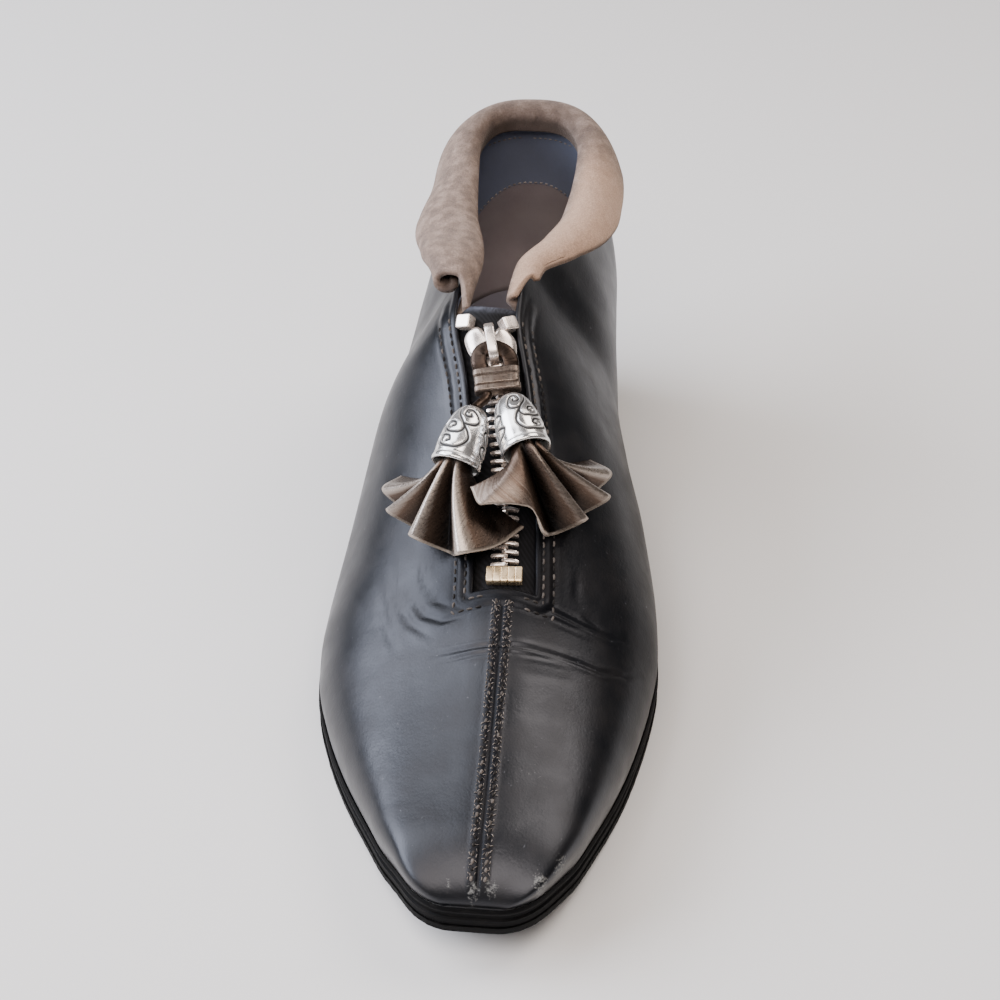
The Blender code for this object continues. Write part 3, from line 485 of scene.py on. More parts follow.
def platedMetal(name, bright, dim, rough, recessed=False):
    made, tree, shader = newFinish(name, {"Metallic": plating["metallic"]})
    place = {"Vector": addNode(tree, "TexCoord").outputs["Object"]}
    cloud = addNode(tree, "TexNoise", {"Scale": 1 / (plating["cloud"] * mm), "Detail": 2.0}, place)
    tone = addNode(tree, "Mix", {6: linear(dim), 7: linear(bright)}, {0: cloud.outputs["Fac"]},
                   data_type="RGBA")
    level = addNode(tree, "MapRange", {"From Min": 0.3, "From Max": 0.7, "To Min": rough - 0.05,
                                       "To Max": rough + 0.1}, {"Value": cloud.outputs["Fac"]})
    if recessed:
        recess = addNode(tree, "Attribute", attribute_name="recess").outputs["Fac"]
        tone = addNode(tree, "Mix", {7: linear(plating["antiquing"])}, {0: recess, 6: tone.outputs[2]},
                       data_type="RGBA")
        metal = addNode(tree, "MapRange", {"To Min": plating["antiquedMetallic"], "To Max": 0.0},
                        {"Value": recess})
        wire(tree, shader, {"Metallic": metal.outputs[0]})
        level = addNode(tree, "MapRange", {"To Max": plating["antiquingRough"]},
                        {"Value": recess, "To Min": level.outputs[0]})
    bump = addNode(tree, "Bump", {"Strength": 0.05, "Distance": 0.0002}, {"Height": cloud.outputs["Fac"]})
    wire(tree, shader, {"Base Color": tone.outputs[2], "Roughness": level.outputs[0],
                        "Normal": bump.outputs["Normal"]})
    return made


# woven zip tape: matt black twill, its upper edge brushed up pale; its ribs are drawn 1.26 mm apart, about
# twice as coarse as real ones, so that they show
tapeCloth = {"black": "0c0c0e", "rib": "19191c", "brushed": "5d606b", "ribPitch": 1.2556}


def wovenTape():
    made, tree, shader = newFinish("blackWovenTape", {"Roughness": 0.85, "Specular IOR Level": 0.25})
    place = addNode(tree, "UVMap")
    # diagonal bands repeat each 2 pi / 10 units of x + y, which is that over root 2 straight across
    scale = 2 * np.pi / 10 / np.sqrt(2) / tapeCloth["ribPitch"]
    rib = addNode(tree, "TexWave", {"Scale": scale, "Distortion": 0.6, "Detail": 1.0},
                  {"Vector": place.outputs[0]}, bands_direction="DIAGONAL")
    fuzz = addNode(tree, "Attribute", attribute_name="fuzz")
    tone = addNode(tree, "Mix", {6: linear(tapeCloth["black"]), 7: linear(tapeCloth["rib"])},
                   {0: rib.outputs["Fac"]}, data_type="RGBA")
    tone = addNode(tree, "Mix", {7: linear(tapeCloth["brushed"])},
                   {0: fuzz.outputs["Fac"], 6: tone.outputs[2]}, data_type="RGBA")
    bump = addNode(tree, "Bump", {"Strength": 0.15, "Distance": 0.0003}, {"Height": rib.outputs["Fac"]})
    wire(tree, shader, {"Base Color": tone.outputs[2], "Normal": bump.outputs["Normal"]})
    return made


# pigskin lining: blue-grey facing band under the collar, worn brown below its arc seam; "below" is mm down
lining = {"facing": "767c8d", "brown": "a59a96", "dark": "85787a", "stain": 14.0, "pore": 0.7}


def pigLining():
    made, tree, shader = newFinish("brownPigskinLining", {"Roughness": 0.6, "Specular IOR Level": 0.35})
    place = {"Vector": addNode(tree, "TexCoord").outputs["Object"]}
    below = addNode(tree, "Attribute", attribute_name="below")
    stain = addNode(tree, "TexNoise", {"Scale": 1 / (lining["stain"] * mm), "Detail": 5.0}, place)
    pores = addNode(tree, "TexNoise", {"Scale": 1 / (lining["pore"] * mm), "Detail": 2.0}, place)
    brown = addNode(tree, "Mix", {6: linear(lining["dark"]), 7: linear(lining["brown"])},
                    {0: stain.outputs["Fac"]}, data_type="RGBA")
    lower = addNode(tree, "MapRange", {"From Min": -0.3, "From Max": 0.3}, {"Value": below.outputs["Fac"]})
    tone = addNode(tree, "Mix", {6: linear(lining["facing"])}, {0: lower.outputs[0], 7: brown.outputs[2]},
                   data_type="RGBA")
    bump = addNode(tree, "Bump", {"Strength": 0.25, "Distance": 0.0003}, {"Height": pores.outputs["Fac"]})
    wire(tree, shader, {"Base Color": tone.outputs[2], "Normal": bump.outputs["Normal"]})
    return made


# bonded cotton thread, dark brown, fuzzed pale where it is worn
thread = {"brown": "120e0b", "fuzzed": "a1968d"}


def bondedThread():
    made, tree, shader = newFinish("brownBondedThread", {"Roughness": 0.7, "Specular IOR Level": 0.3})
    fuzz = addNode(tree, "Attribute", attribute_name="fuzz")
    tone = addNode(tree, "Mix", {6: linear(thread["brown"]), 7: linear(thread["fuzzed"])},
                   {0: fuzz.outputs["Fac"]}, data_type="RGBA")
    wire(tree, shader, {"Base Color": tone.outputs[2]})
    return made


# moulded rubber and edge-inked leather of the bottom: matt, scraped grey along the edges in flat strokes
# of the given length in mm
def soleEdge(name, dark, scraped, rough, stroke):
    made, tree, shader = newFinish(name, {"Specular IOR Level": 0.08})
    place = addNode(tree, "TexCoord").outputs["Object"]
    flat = addNode(tree, "Mapping", {"Scale": (1.0, 1.0, 6.0)}, {"Vector": place})
    scrape = addNode(tree, "TexNoise", {"Scale": 1 / (stroke * mm), "Detail": 5.0, "Roughness": 0.7},
                     {"Vector": flat.outputs[0]})
    worn = addNode(tree, "MapRange", {"From Min": 0.52, "From Max": 0.72}, {"Value": scrape.outputs["Fac"]})
    tone = addNode(tree, "Mix", {6: linear(dark), 7: linear(scraped)}, {0: worn.outputs[0]}, data_type="RGBA")
    level = addNode(tree, "MapRange", {"To Min": rough, "To Max": rough + 0.2}, {"Value": worn.outputs[0]})
    bump = addNode(tree, "Bump", {"Strength": 0.3, "Distance": 0.0004}, {"Height": scrape.outputs["Fac"]})
    wire(tree, shader, {"Base Color": tone.outputs[2], "Roughness": level.outputs[0],
                        "Normal": bump.outputs["Normal"]})
    return made


calfFinish, suedeFinish, foilFinish = blackCalf(), taupeSuede(), bronzeFoil()
nickelFinish = platedMetal("tumbledNickelPlate", "fff4ec", "eaddd2", 0.22)
silverFinish = platedMetal("antiquedSilverPlate", "ffffff", "e8e4de", 0.17, recessed=True)
brassFinish = platedMetal("giltBrassPlate", "f6e2c0", "d8b988", 0.26)
tapeFinish, liningFinish, threadFinish = wovenTape(), pigLining(), bondedThread()
rubberFinish = soleEdge("blackMouldedRubber", "090909", "1c1b1a", 0.62, 3.0)
inkedFinish = soleEdge("inkedLeatherEdge", "060607", "1c1a19", 0.6, 4.0)
stackedFinish = soleEdge("stackedHeelLeather", "100d0c", "2b2420", 0.45, 5.0)
print("finishes ready")


# the upper: hollow leather shell with walking creases, a raised front seam and turned slot edges, in mm
upperShape = {
    # rows and columns of its grid, and how they crowd at the toe, the heel and the slot
    "rowsVamp": 190, "rowsRear": 120, "sideColumns": 62, "capColumns": 16,
    "crowdToe": 1.25, "crowdHeel": 1.6, "crowdEdge": 1.5,
    # front seam: plateau, groove along the ridge line, where it begins behind the toe and ends at the slot
    "seamHalf": 2.5, "seamRaise": 0.22, "groove": 0.4, "grooveHalf": 0.45,
    "seamFlank": (-0.7, 0.5), "seamIn": (0.5, 4.0), "seamOut": (71.0, 73.5),
    # slot: its edge work begins and ends, turned edge, dips under the stitch rows, puckers between them
    "slotIn": (66.0, 70.0), "slotOut": (150.0, 158.0), "edgeTurn": 1.0,
    "stitchRows": (1.9, 4.5), "stitchDip": 0.22, "dipHalf": 0.55,
    "pucker": 0.28, "puckerAt": 3.2, "puckerHalf": 1.2, "puckerPitch": 4.6, "puckerSwing": 0.5,
    # walking creases: (s, x) points, half width, depth, shoulder height; a shoulder's place in half widths
    "shoulderAt": 2.1, "shoulderHalf": 1.3, "creaseFade": 1.6,
    "creases": [
        ([(73.6, 9.0), (73.4, 14.0), (73.0, 20.0), (74.0, 27.0), (78.0, 33.0)], 0.5, 0.24, 0.16),
        ([(71.8, 11.0), (71.6, 17.0), (72.0, 24.0)], 0.45, 0.15, 0.1),
        ([(61.6, -17.0), (61.4, -8.0), (61.6, 0.0), (62.4, 9.0), (63.0, 18.0), (63.4, 25.0), (66.5, 31.0),
          (72.0, 36.0)], 0.5, 0.26, 0.18),
        ([(59.2, -14.0), (59.8, -5.0), (60.4, 5.0), (61.6, 14.0), (61.8, 20.0)], 0.45, 0.18, 0.12),
        ([(70.0, -9.0), (70.2, -15.0), (73.0, -20.0), (79.0, -24.0), (86.0, -27.0)], 0.7, 0.3, 0.14),
        ([(73.0, -12.5), (76.0, -17.0), (82.0, -20.5), (90.0, -22.0)], 0.7, 0.3, 0.16),
        ([(66.0, -17.0), (72.0, -23.5), (80.0, -27.5), (90.0, -30.0)], 0.75, 0.25, 0.12),
        ([(64.0, -26.0), (74.0, -30.0), (84.0, -32.5)], 0.9, 0.18, 0.1),
        ([(86.0, 19.0), (80.0, 18.0), (76.0, 21.0), (74.0, 26.0)], 0.8, 0.15, 0.08),
        ([(56.0, 4.0), (56.4, 12.0), (57.8, 20.0)], 1.4, 0.1, 0.0),
    ],
    # scuffs: (s, x), radius, amount
    "scuffs": [
        (8.5, 21.0, 6.5, 1.0), (13.5, 25.0, 4.6, 0.95), (5.0, 14.0, 4.0, 0.85), (2.0, -1.0, 3.8, 0.8),
        (2.6, 3.0, 3.6, 0.8), (18.0, 28.0, 4.0, 0.72), (2.6, -7.0, 2.6, 0.75), (30.0, 12.0, 14.0, 0.62),
        (48.0, 22.0, 14.0, 0.6), (40.0, -14.0, 18.0, 0.58),
    ],
}
# dull leather, its sheen turned down so that it reads dark: a painted dark reflection on the inner flank,
# painted shade at the puckered foot of the slot and under the lateral roll of the cuff; the seam's band is
# dull too
dullZones = {
    "flank": (20.0, 40.0), "seam": 0.75,
    "slot": 0.8, "slotReach": 13.0, "slotIn": (60.0, 74.0), "slotOut": (96.0, 118.0),
    "rollAt": 164.0, "rollReach": 18.0, "rollDrop": (9.0, 17.0),
}
# arc seam of the lining: depth under the collar edge at the back, how fast and how wide it sinks
liningArc = {"depth": 26.5, "sink": 8.0, "spread": 2.0}


def liningSeam(ahead):
    # mm under the collar edge, an arch that sinks forwards from the back along the sides
    rounded = np.sqrt(np.clip(ahead, 0, None) / liningArc["spread"] + 1) - 1
    return liningArc["depth"] + liningArc["sink"] * rounded


def upperGrid():
    # stations along the foot by places round the section; the toe row is drawn straight
    shape = upperShape
    rearLength = last["length"] - last["slotStart"]
    vamp = last["slotStart"] * np.linspace(0, 1, shape["rowsVamp"]) ** shape["crowdToe"]
    rear = last["length"] - rearLength * np.linspace(1, 0, shape["rowsRear"]) ** shape["crowdHeel"]
    s = np.concatenate([vamp, rear[1:]])
    half = np.concatenate([1 - np.linspace(1, 0, shape["sideColumns"]) ** shape["crowdEdge"],
                           1 + np.linspace(0, 1, shape["capColumns"])[1:]])
    q = np.concatenate([half, half[::-1][1:]])
    side = np.where(np.arange(len(q)) < len(half), -1.0, 1.0)
    points = skin(s[:, None], side[None], q[None])
    points[0, :, 0] = np.linspace(points[0, 0, 0], points[0, -1, 0], len(q))
    return s, points


def creaseLift(sGrid, offset):
    # each crease is a trough with a low shoulder on both sides, fading out at its ends
    shape = upperShape
    flat = np.stack([sGrid.ravel(), offset.ravel()], 1)
    lift = np.zeros(len(flat))
    for line, width, depth, shoulder in shape["creases"]:
        gap, along = nearLine(flat, line)
        fade = np.clip(np.sin(np.pi * np.clip(along, 0.02, 0.98)) * shape["creaseFade"], 0, 1)
        raised = bell(gap - shape["shoulderAt"] * width, shape["shoulderHalf"] * width)
        lift += shoulder * raised * fade - depth * (bell(gap, width) * fade)
    return lift.reshape(offset.shape)


def slotLift(sGrid, away):
    # along the slot: the edge turned down in a quarter round, dips under the stitches, puckers between them
    shape = upperShape
    zone = smooth(sGrid, *shape["slotIn"]) * (1 - smooth(sGrid, *shape["slotOut"]))
    turn = np.clip(shape["edgeTurn"] - away, 0, shape["edgeTurn"])
    turned = shape["edgeTurn"] - np.sqrt(shape["edgeTurn"] ** 2 - turn ** 2 + 1e-9)
    lift = -turned * (sGrid >= last["slotStart"] - 0.01)
    for row in shape["stitchRows"]:
        lift = lift - shape["stitchDip"] * bell(away - row, shape["dipHalf"])
    waves = 1 + shape["puckerSwing"] * np.sin(sGrid * 2 * np.pi / shape["puckerPitch"])
    return zone * (lift + shape["pucker"] * bell(away - shape["puckerAt"], shape["puckerHalf"]) * waves)


def makeUpper():
    # the skin moved along its normals by creases, front seam and slot
    shape = upperShape
    s, points = upperGrid()
    rows, cols = points.shape[:2]
    normal = -gridNormals(points)
    offset = points[..., 0] - axisOf(s)[:, None]
    sGrid = np.broadcast_to(s[:, None], offset.shape)
    front = (1 - smooth(sGrid, *shape["seamOut"])) * smooth(sGrid, *shape["seamIn"])
    plateau = 1 - smooth(np.abs(offset) - shape["seamHalf"], *shape["seamFlank"])
    seam = front * (shape["seamRaise"] * plateau - shape["groove"] * bell(offset, shape["grooveHalf"]))
    # distance from the edge of slot and collar, measured round the corners of the slot's foot
    gapEdge = np.abs(offset) - halfGap(s)[:, None]
    ahead = np.maximum(last["slotStart"] - sGrid, 0)
    away = np.where(sGrid >= last["slotStart"], gapEdge, np.hypot(np.maximum(gapEdge, 0), ahead))
    lift = creaseLift(sGrid, offset) + seam + slotLift(sGrid, away)
    points = points + normal * lift[..., None]
    wear = np.zeros(offset.shape)
    for sAt, xAt, radius, amount in shape["scuffs"]:
        wear = np.maximum(wear, amount * bell(np.hypot(sGrid - sAt, offset - xAt), radius))
    drop = column(sections, "edge", s)[:, None] - points[..., 2]
    zones = dullZones
    atSlot = smooth(sGrid, *zones["slotIn"]) * (1 - smooth(sGrid, *zones["slotOut"]))
    underRoll = (offset < 0) * (1 - smooth(drop, *zones["rollDrop"]))
    # dull: painted shade at the slot's foot and under the cuff's roll, a painted dark reflection on the inner
    # flank
    dull = np.maximum.reduce([
        smooth(offset, *zones["flank"]), zones["seam"] * front * plateau,
        zones["slot"] * bell(away, zones["slotReach"]) * atSlot,
        bell(sGrid - zones["rollAt"], zones["rollReach"]) * underRoll])
    below = drop - liningSeam(last["length"] - sGrid)
    # the slot and the collar's mouth are left open
    keep = np.ones((rows - 1, cols - 1), bool)
    keep[shape["rowsVamp"] - 1:, shape["sideColumns"] - 1:cols - shape["sideColumns"]] = False
    faces = gridFaces(rows, cols)[keep.ravel()]
    piece = makePiece("upperLeather", points, faces, [calfFinish, liningFinish], ["upper"],
                      {"wear": wear, "dull": dull, "below": below}, closed=False, outFrom=(0, 120, 30),
                      sharp=0)
    thicken(piece, last["wall"], -1.0, inside=1, rim=0)


makeUpper()
print("upper done")


# stitches: pitch, length, thread radius and lift over the leather in mm; fuzz is how pale, loose how crooked
stitchKinds = {
    "slot": {"pitch": 2.3, "length": 1.9, "radius": 0.3, "lift": 0.08},
    "seam": {"pitch": 1.9, "length": 1.7, "radius": 0.34, "lift": 0.3, "fuzz": 0.05, "loose": 0.2},
    "seamToe": {"pitch": 1.9, "length": 1.7, "radius": 0.36, "lift": 0.32, "fuzz": 0.16, "loose": 0.25},
    "fibre": {"length": 1.1, "radius": 0.1, "lift": 0.4, "fuzz": 0.5, "loose": 1.1},
    "facing": {"pitch": 1.6, "length": 1.2, "radius": 0.2, "lift": 0.1, "fuzz": 0.75},
    "arc": {"pitch": 1.7, "length": 1.2, "radius": 0.2, "lift": 0.1, "fuzz": 0.7},
}
stitchRoutes = {
    # slot: half width, end of the row at its foot, and for each side how pale the thread is
    "slotHalf": 8.0, "slotFoot": 3.0, "slotFuzz": ((-1, 0.06), (1, 0.12)),
    # front seam: offset of both rows, s of its parts; fibres stand at (offset from the row, pitch)
    "seamX": (-1.6, 1.6), "seam": (73.4, 30.0), "seamToe": (30.0, 8.0, 3.0), "fibres": (73.0, 3.5),
    "fibreRows": ((-0.8, 1.1), (-0.3, 2.3), (0.3, 1.9), (0.8, 1.3)),
    # lining: (s, mm under the collar edge), s negative on the lateral side; length of the arc seam's halves
    "facing": ([(-244.5, 9.6), (-246.8, 9.1), (-248.0, 8.4)], [(248.0, 8.4), (246.4, 9.0), (244.5, 9.6)]),
    "arcReach": 30.0,
}
stitchRings, stitchAround = 7, 6


def stitchRow(line, pitch, length, radius, lift, fuzz, surface=overInstep, loose=0.08):
    # short thread capsules along a line of (s, x), arched so that they dip into the leather at both ends
    sampleStep, tangentReach, wornSpread = 0.12, 0.4, 0.25
    line = np.asarray(line, float)
    step = walkedLength(line)
    dense = np.arange(0, step[-1], sampleStep)
    s, x = np.interp(dense, step, line[:, 0]), np.interp(dense, step, line[:, 1])
    path, top = (surface(s, x, np.full(len(s), height)) for height in (0.0, 1.0))
    walked = walkedLength(path)
    places = np.arange(pitch / 2, walked[-1] - pitch / 2 + 0.01, pitch)

    def read(data, at):
        return np.stack([np.interp(at, walked, data[:, k]) for k in range(3)], 1)

    centre = read(path, places)
    up = unit(read(top, places) - centre)
    run = unit(read(path, places + tangentReach) - read(path, places - tangentReach))
    run = unit(run + rng.normal(0, loose, run.shape))
    across = np.cross(run, up)
    v = np.linspace(-1, 1, stitchRings)[None, :, None, None]
    a = np.linspace(0, 2 * np.pi, stitchAround, endpoint=False)[None, None, :, None]
    thick = radius * np.sqrt(np.clip(1 - v ** 4, 0, 1))
    arch = lift - (lift + radius) * v ** 2
    centre, run, across, up = (way[:, None, None] for way in (centre, run, across, up))
    shape = centre + v * length / 2 * run + thick * np.cos(a) * across + (arch + thick * np.sin(a)) * up
    worn = fuzz + rng.uniform(-wornSpread, wornSpread, len(places))
    return shape, np.repeat(worn, stitchRings * stitchAround)


def insideWall(s, below, h):
    # point of the lining at a height under the collar edge: signed s picks the side, h lifts off the wall
    side, station = np.where(s < 0, -1.0, 1.0), np.abs(s)
    goal = column(sections, "edge", station) - below
    point = skin(station, side, findPlace(station, side, 0.02, lambda at: at[..., 2] < goal))
    mouthS, clear = 205.0, 0.1
    centre = np.stack([axisOf(station), np.full(station.shape, mouthS), point[..., 2]], -1)
    return point + (last["wall"] + clear + h)[..., None] * unit(centre - point)


def makeStitches():
    # slot rows, front seam and lining rows, joined into one piece
    routes, kinds = stitchRoutes, stitchKinds
    rows = []
    for row in upperShape["stitchRows"]:
        low = last["slotStart"] - row
        for side, fuzz in routes["slotFuzz"]:
            x = side * (routes["slotHalf"] + row)
            line = [(last["throat"], x), (low, x), (low, side * routes["slotFoot"])]
            rows.append(stitchRow(line, fuzz=fuzz, **kinds["slot"]))
    # front seam: two rows of thick thread with worn, standing fibres between and beside them
    for x in routes["seamX"]:
        for part in ("seam", "seamToe"):
            rows.append(stitchRow([(s, x) for s in routes[part]], **kinds[part]))
        for shift, pitch in routes["fibreRows"]:
            rows.append(stitchRow([(s, x + shift) for s in routes["fibres"]], pitch, **kinds["fibre"]))
    # the facing's upper edge and the arc seam of the lining
    for line in routes["facing"]:
        rows.append(stitchRow(line, surface=insideWall, **kinds["facing"]))
    ahead = np.linspace(0, 1, 60) ** 2 * routes["arcReach"]
    arc = np.stack([last["length"] - ahead, liningSeam(ahead)], 1)
    for side in (-1, 1):
        rows.append(stitchRow(arc * [side, 1], surface=insideWall, **kinds["arc"]))
    shapes, fuzz = (np.concatenate(parts) for parts in zip(*rows))
    makePiece("stitching", shapes, repeatFaces(stitchRings, stitchAround, len(shapes)), [threadFinish],
              values={"fuzz": np.clip(fuzz, 0, 1)})


makeStitches()
print("stitches done")


# bottom: plates grown from the feather line, each a stack of outlines with heights, in mm
bottomShape = {
    "stations": 170, "crowd": 0.92, "clear": 0.3,
    "outsole": 2.6, "bevel": 0.8, "outsoleRough": 0.3,
    "midInset": 0.3, "midStep": 0.5, "stepAt": 4.7, "stepHigh": 0.3, "midTop": 6.7,
    "weltInner": 0.6, "weltHigh": 1.4, "weltRough": 0.1,
    "weltTuck": 0.15, "weltFace": (0.3, 0.8), "weltRound": 0.45,
    "insole": 2.0, "insoleInset": 3.0, "insoleFrom": 6.0,
    "breast": 186.0, "heelInset": 0.5, "taper": 2.4, "heelRows": 6, "lift": 5.0, "liftBevel": 0.5,
    # cut edges waver: height, waves to each 2 pi mm, phase
    "ragged": [(0.12, 1.9, 0.0), (0.1, 4.3, 1.0), (0.06, 9.1, 0.0)],
}


def footStations(count):
    # stations that crowd at the toe and the heel: a straight run less a sine
    u = np.linspace(0, 1, count)
    return last["length"] * (u - bottomShape["crowd"] * np.sin(2 * np.pi * u) / (2 * np.pi))


def featherRing(s, grow, z):
    # the feather line moved outwards in plan, at heights z: forwards on the lateral side, back on the medial
    sides = []
    for side in (-1.0, 1.0):
        line = skin(s, side, 0.0)[:, :2]
        run = unit(np.gradient(line, axis=0))
        outward = np.stack([run[:, 1], -run[:, 0]], 1) * side
        if planFactor(s[-1]) < 1e-6:
            outward[-1] = (0, 1)
        sides.append(line + np.broadcast_to(grow, len(s))[:, None] * outward)
    height = np.broadcast_to(z, len(s))
    plan = np.concatenate([sides[0][::-1], sides[1]])
    return np.column_stack([plan, np.concatenate([height[::-1], height])])


def makePlate(name, s, levels, finish, node):
    # rings joined by walls, closed at both ends by strips across the foot
    rings = np.concatenate([featherRing(s, grow, z) for grow, z in levels])
    count, loop = len(s), 2 * len(s)
    i = np.arange(count - 1)
    caps = [np.stack([b + i, b + i + 1, b + loop - 2 - i, b + loop - 1 - i], 1)
            for b in (0, (len(levels) - 1) * loop)]
    faces = np.concatenate([gridFaces(len(levels), loop, wrapCols=True), *caps])
    makePiece(name, rings, faces, [finish], [node], sharp=32)


def makeBottom():
    # each plate is the feather line grown by an amount at a height, level by level
    shape = bottomShape
    s = footStations(shape["stations"])
    base, edge = under(s), column(bottomLine, "edge", s)
    ragged = sum(high * np.sin(s * often + phase) for high, often, phase in shape["ragged"])
    wall = edge + shape["outsoleRough"] * ragged
    levels = [(edge - shape["bevel"], base), (wall, base + shape["bevel"]), (wall, base + shape["outsole"])]
    makePlate("outsoleRubber", s, levels, rubberFinish, "outsole")
    side = edge - shape["midInset"]
    stepped = side - shape["midStep"]
    levels = [(side, base + shape["outsole"] + shape["clear"]), (side, base + shape["stepAt"]),
              (stepped, base + shape["stepAt"] + shape["stepHigh"]), (stepped, base + shape["midTop"])]
    makePlate("midsoleLeather", s, levels, inkedFinish, "midsole")
    inner = s[s > shape["insoleFrom"]]
    board = under(inner) + last["soleStack"]
    levels = [(-shape["insoleInset"], board), (-shape["insoleInset"], board + shape["insole"])]
    makePlate("insoleBoard", inner, levels, liningFinish, "insole")
    low = base + last["soleStack"]
    lip = edge + shape["weltRough"] * ragged
    high = low + shape["weltHigh"]
    profile = [(shape["weltInner"], low), (edge - shape["weltTuck"], low),
               (lip, low + shape["weltFace"][0]), (lip, low + shape["weltFace"][1]),
               (edge - shape["weltRound"], high), (shape["weltInner"], high)]
    ring = np.stack([featherRing(s, grow, z)[:-1] for grow, z in profile], 1)
    makePiece("weltLip", ring, gridFaces(*ring.shape[:2], wrapRows=True, wrapCols=True), [inkedFinish],
              ["welt"], sharp=40)
    heel = np.concatenate([[shape["breast"]], s[s > shape["breast"] + 1.0]])
    seat = under(heel) - shape["clear"]
    foot = column(bottomLine, "edge", heel) - shape["heelInset"] - shape["taper"]
    start = shape["lift"] + shape["clear"]
    parts = np.linspace(0, 1, shape["heelRows"])
    levels = [(foot + shape["taper"] * t, start + t * (seat - start)) for t in parts]
    makePlate("heelBlock", heel, levels, stackedFinish, "heel")
    levels = [(foot - shape["liftBevel"], 0.0), (foot, shape["liftBevel"]), (foot, shape["lift"])]
    makePlate("heelLift", heel, levels, rubberFinish, "heel_lift")


makeBottom()
print("bottom done")


# suede cuff: leg inside the collar, roll over the edge, flap turned out, hem curled under; the lateral flap
# starts behind the strip that borders the throat, so its end is an open roll
cuffShape = {
    "from": 148.2, "thick": 1.8, "depth": 3.6, "rollInner": 1.6, "rollOuter": 1.5, "rollReach": 0.9,
    # mm that the flap starts later or ends earlier than the leg, and the part of the roll over which it does
    "flapLag": 9.0, "lagOver": (0.31, 0.57),
    "medialTrim": 5.0, "medialLag": 8.0, "medialLagOver": (0.45, 0.9),
    "rows": 260, "legColumns": 10, "rollColumns": 44, "hemColumns": 16,
    # rows of the collar path, how they crowd at the back, and q just under its edge
    "pathRows": 400, "pathCrowd": 2.5, "nearEdge": 0.93,
    # slack in the suede: height and length of two waves
    "slack": ((0.28, 9.0), (0.22, 4.7)), "slackOver": (0.1, 0.5),
}
# "at" runs lateral front -1, back 0, medial front 1
cuffTable = {
    "at":   [-1.0, -0.88, -0.77, -0.64, -0.50, -0.35, -0.18, 0.0,  0.18, 0.35, 0.50, 0.64, 0.77, 0.87, 1.0],
    "leg":  [4.0,  5.0,   6.0,   7.0,   7.0,   6.0,   5.0,   4.5,  5.0,  6.0,  7.0,  7.0,  6.0,  5.0,  4.0],
    "rise": [1.8,  2.6,   3.0,   3.2,   3.2,   3.2,   3.2,   3.2,  3.2,  3.2,  3.2,  2.7,  2.0,  1.6,  1.4],
    "out":  [3.0,  7.6,   11.5,  11.5,  9.5,   7.5,   6.5,   6.0,  6.5,  7.2,  8.4,  7.2,  4.2,  2.6,  2.2],
    "drop": [1.0,  1.6,   4.0,   6.0,   7.0,   9.0,   11.0,  12.0, 11.0, 8.6,  5.8,  3.2,  1.6,  0.9,  0.7],
    "hem":  [5.0,  10.4,  8.0,   6.0,   5.0,   4.0,   3.0,   3.0,  3.0,  2.4,  1.8,  1.6,  1.2,  0.9,  0.7],
    "curl": [150,  200,   165,   128,   110,   90,    60,    40,   50,   50,   45,   40,   30,   15,   5],
}
# painted shade under the hem, on the leg at the back and inside the roll there; over the medial flap a
# lighter, warmer tan, partly the suede's own colour and partly painted light
cuffShade = {
    "hem": 0.8, "hemOver": (0.05, 0.7), "leg": 0.6, "legOver": (-0.2, 0.4), "legBack": (0.12, 0.3),
    "roll": 0.3, "rollOver": (0.2, 0.6), "rollBack": (0.1, 0.4),
    "tan": 0.65, "tanAt": (0.1, 0.38), "tanOver": (0.15, 0.45),
}


def collarPath():
    # collar edge walked from the lateral front round the back: length, table place, points, up and outwards
    shape = cuffShape
    reach = last["length"] - shape["from"]
    run = last["length"] - reach * np.linspace(1, 0, shape["pathRows"]) ** shape["pathCrowd"]
    near, edge = (np.concatenate([skin(run, -1.0, q), skin(run[::-1], 1.0, q)[1:]])
                  for q in (shape["nearEdge"], 1.0))
    ahead = (last["length"] - run) / reach
    walked = walkedLength(edge)
    rise = unit(edge - near)
    out = unit(np.cross(rise, np.gradient(edge, walked, axis=0)))
    return walked, np.concatenate([-ahead, ahead[::-1][1:]]), edge, rise, out


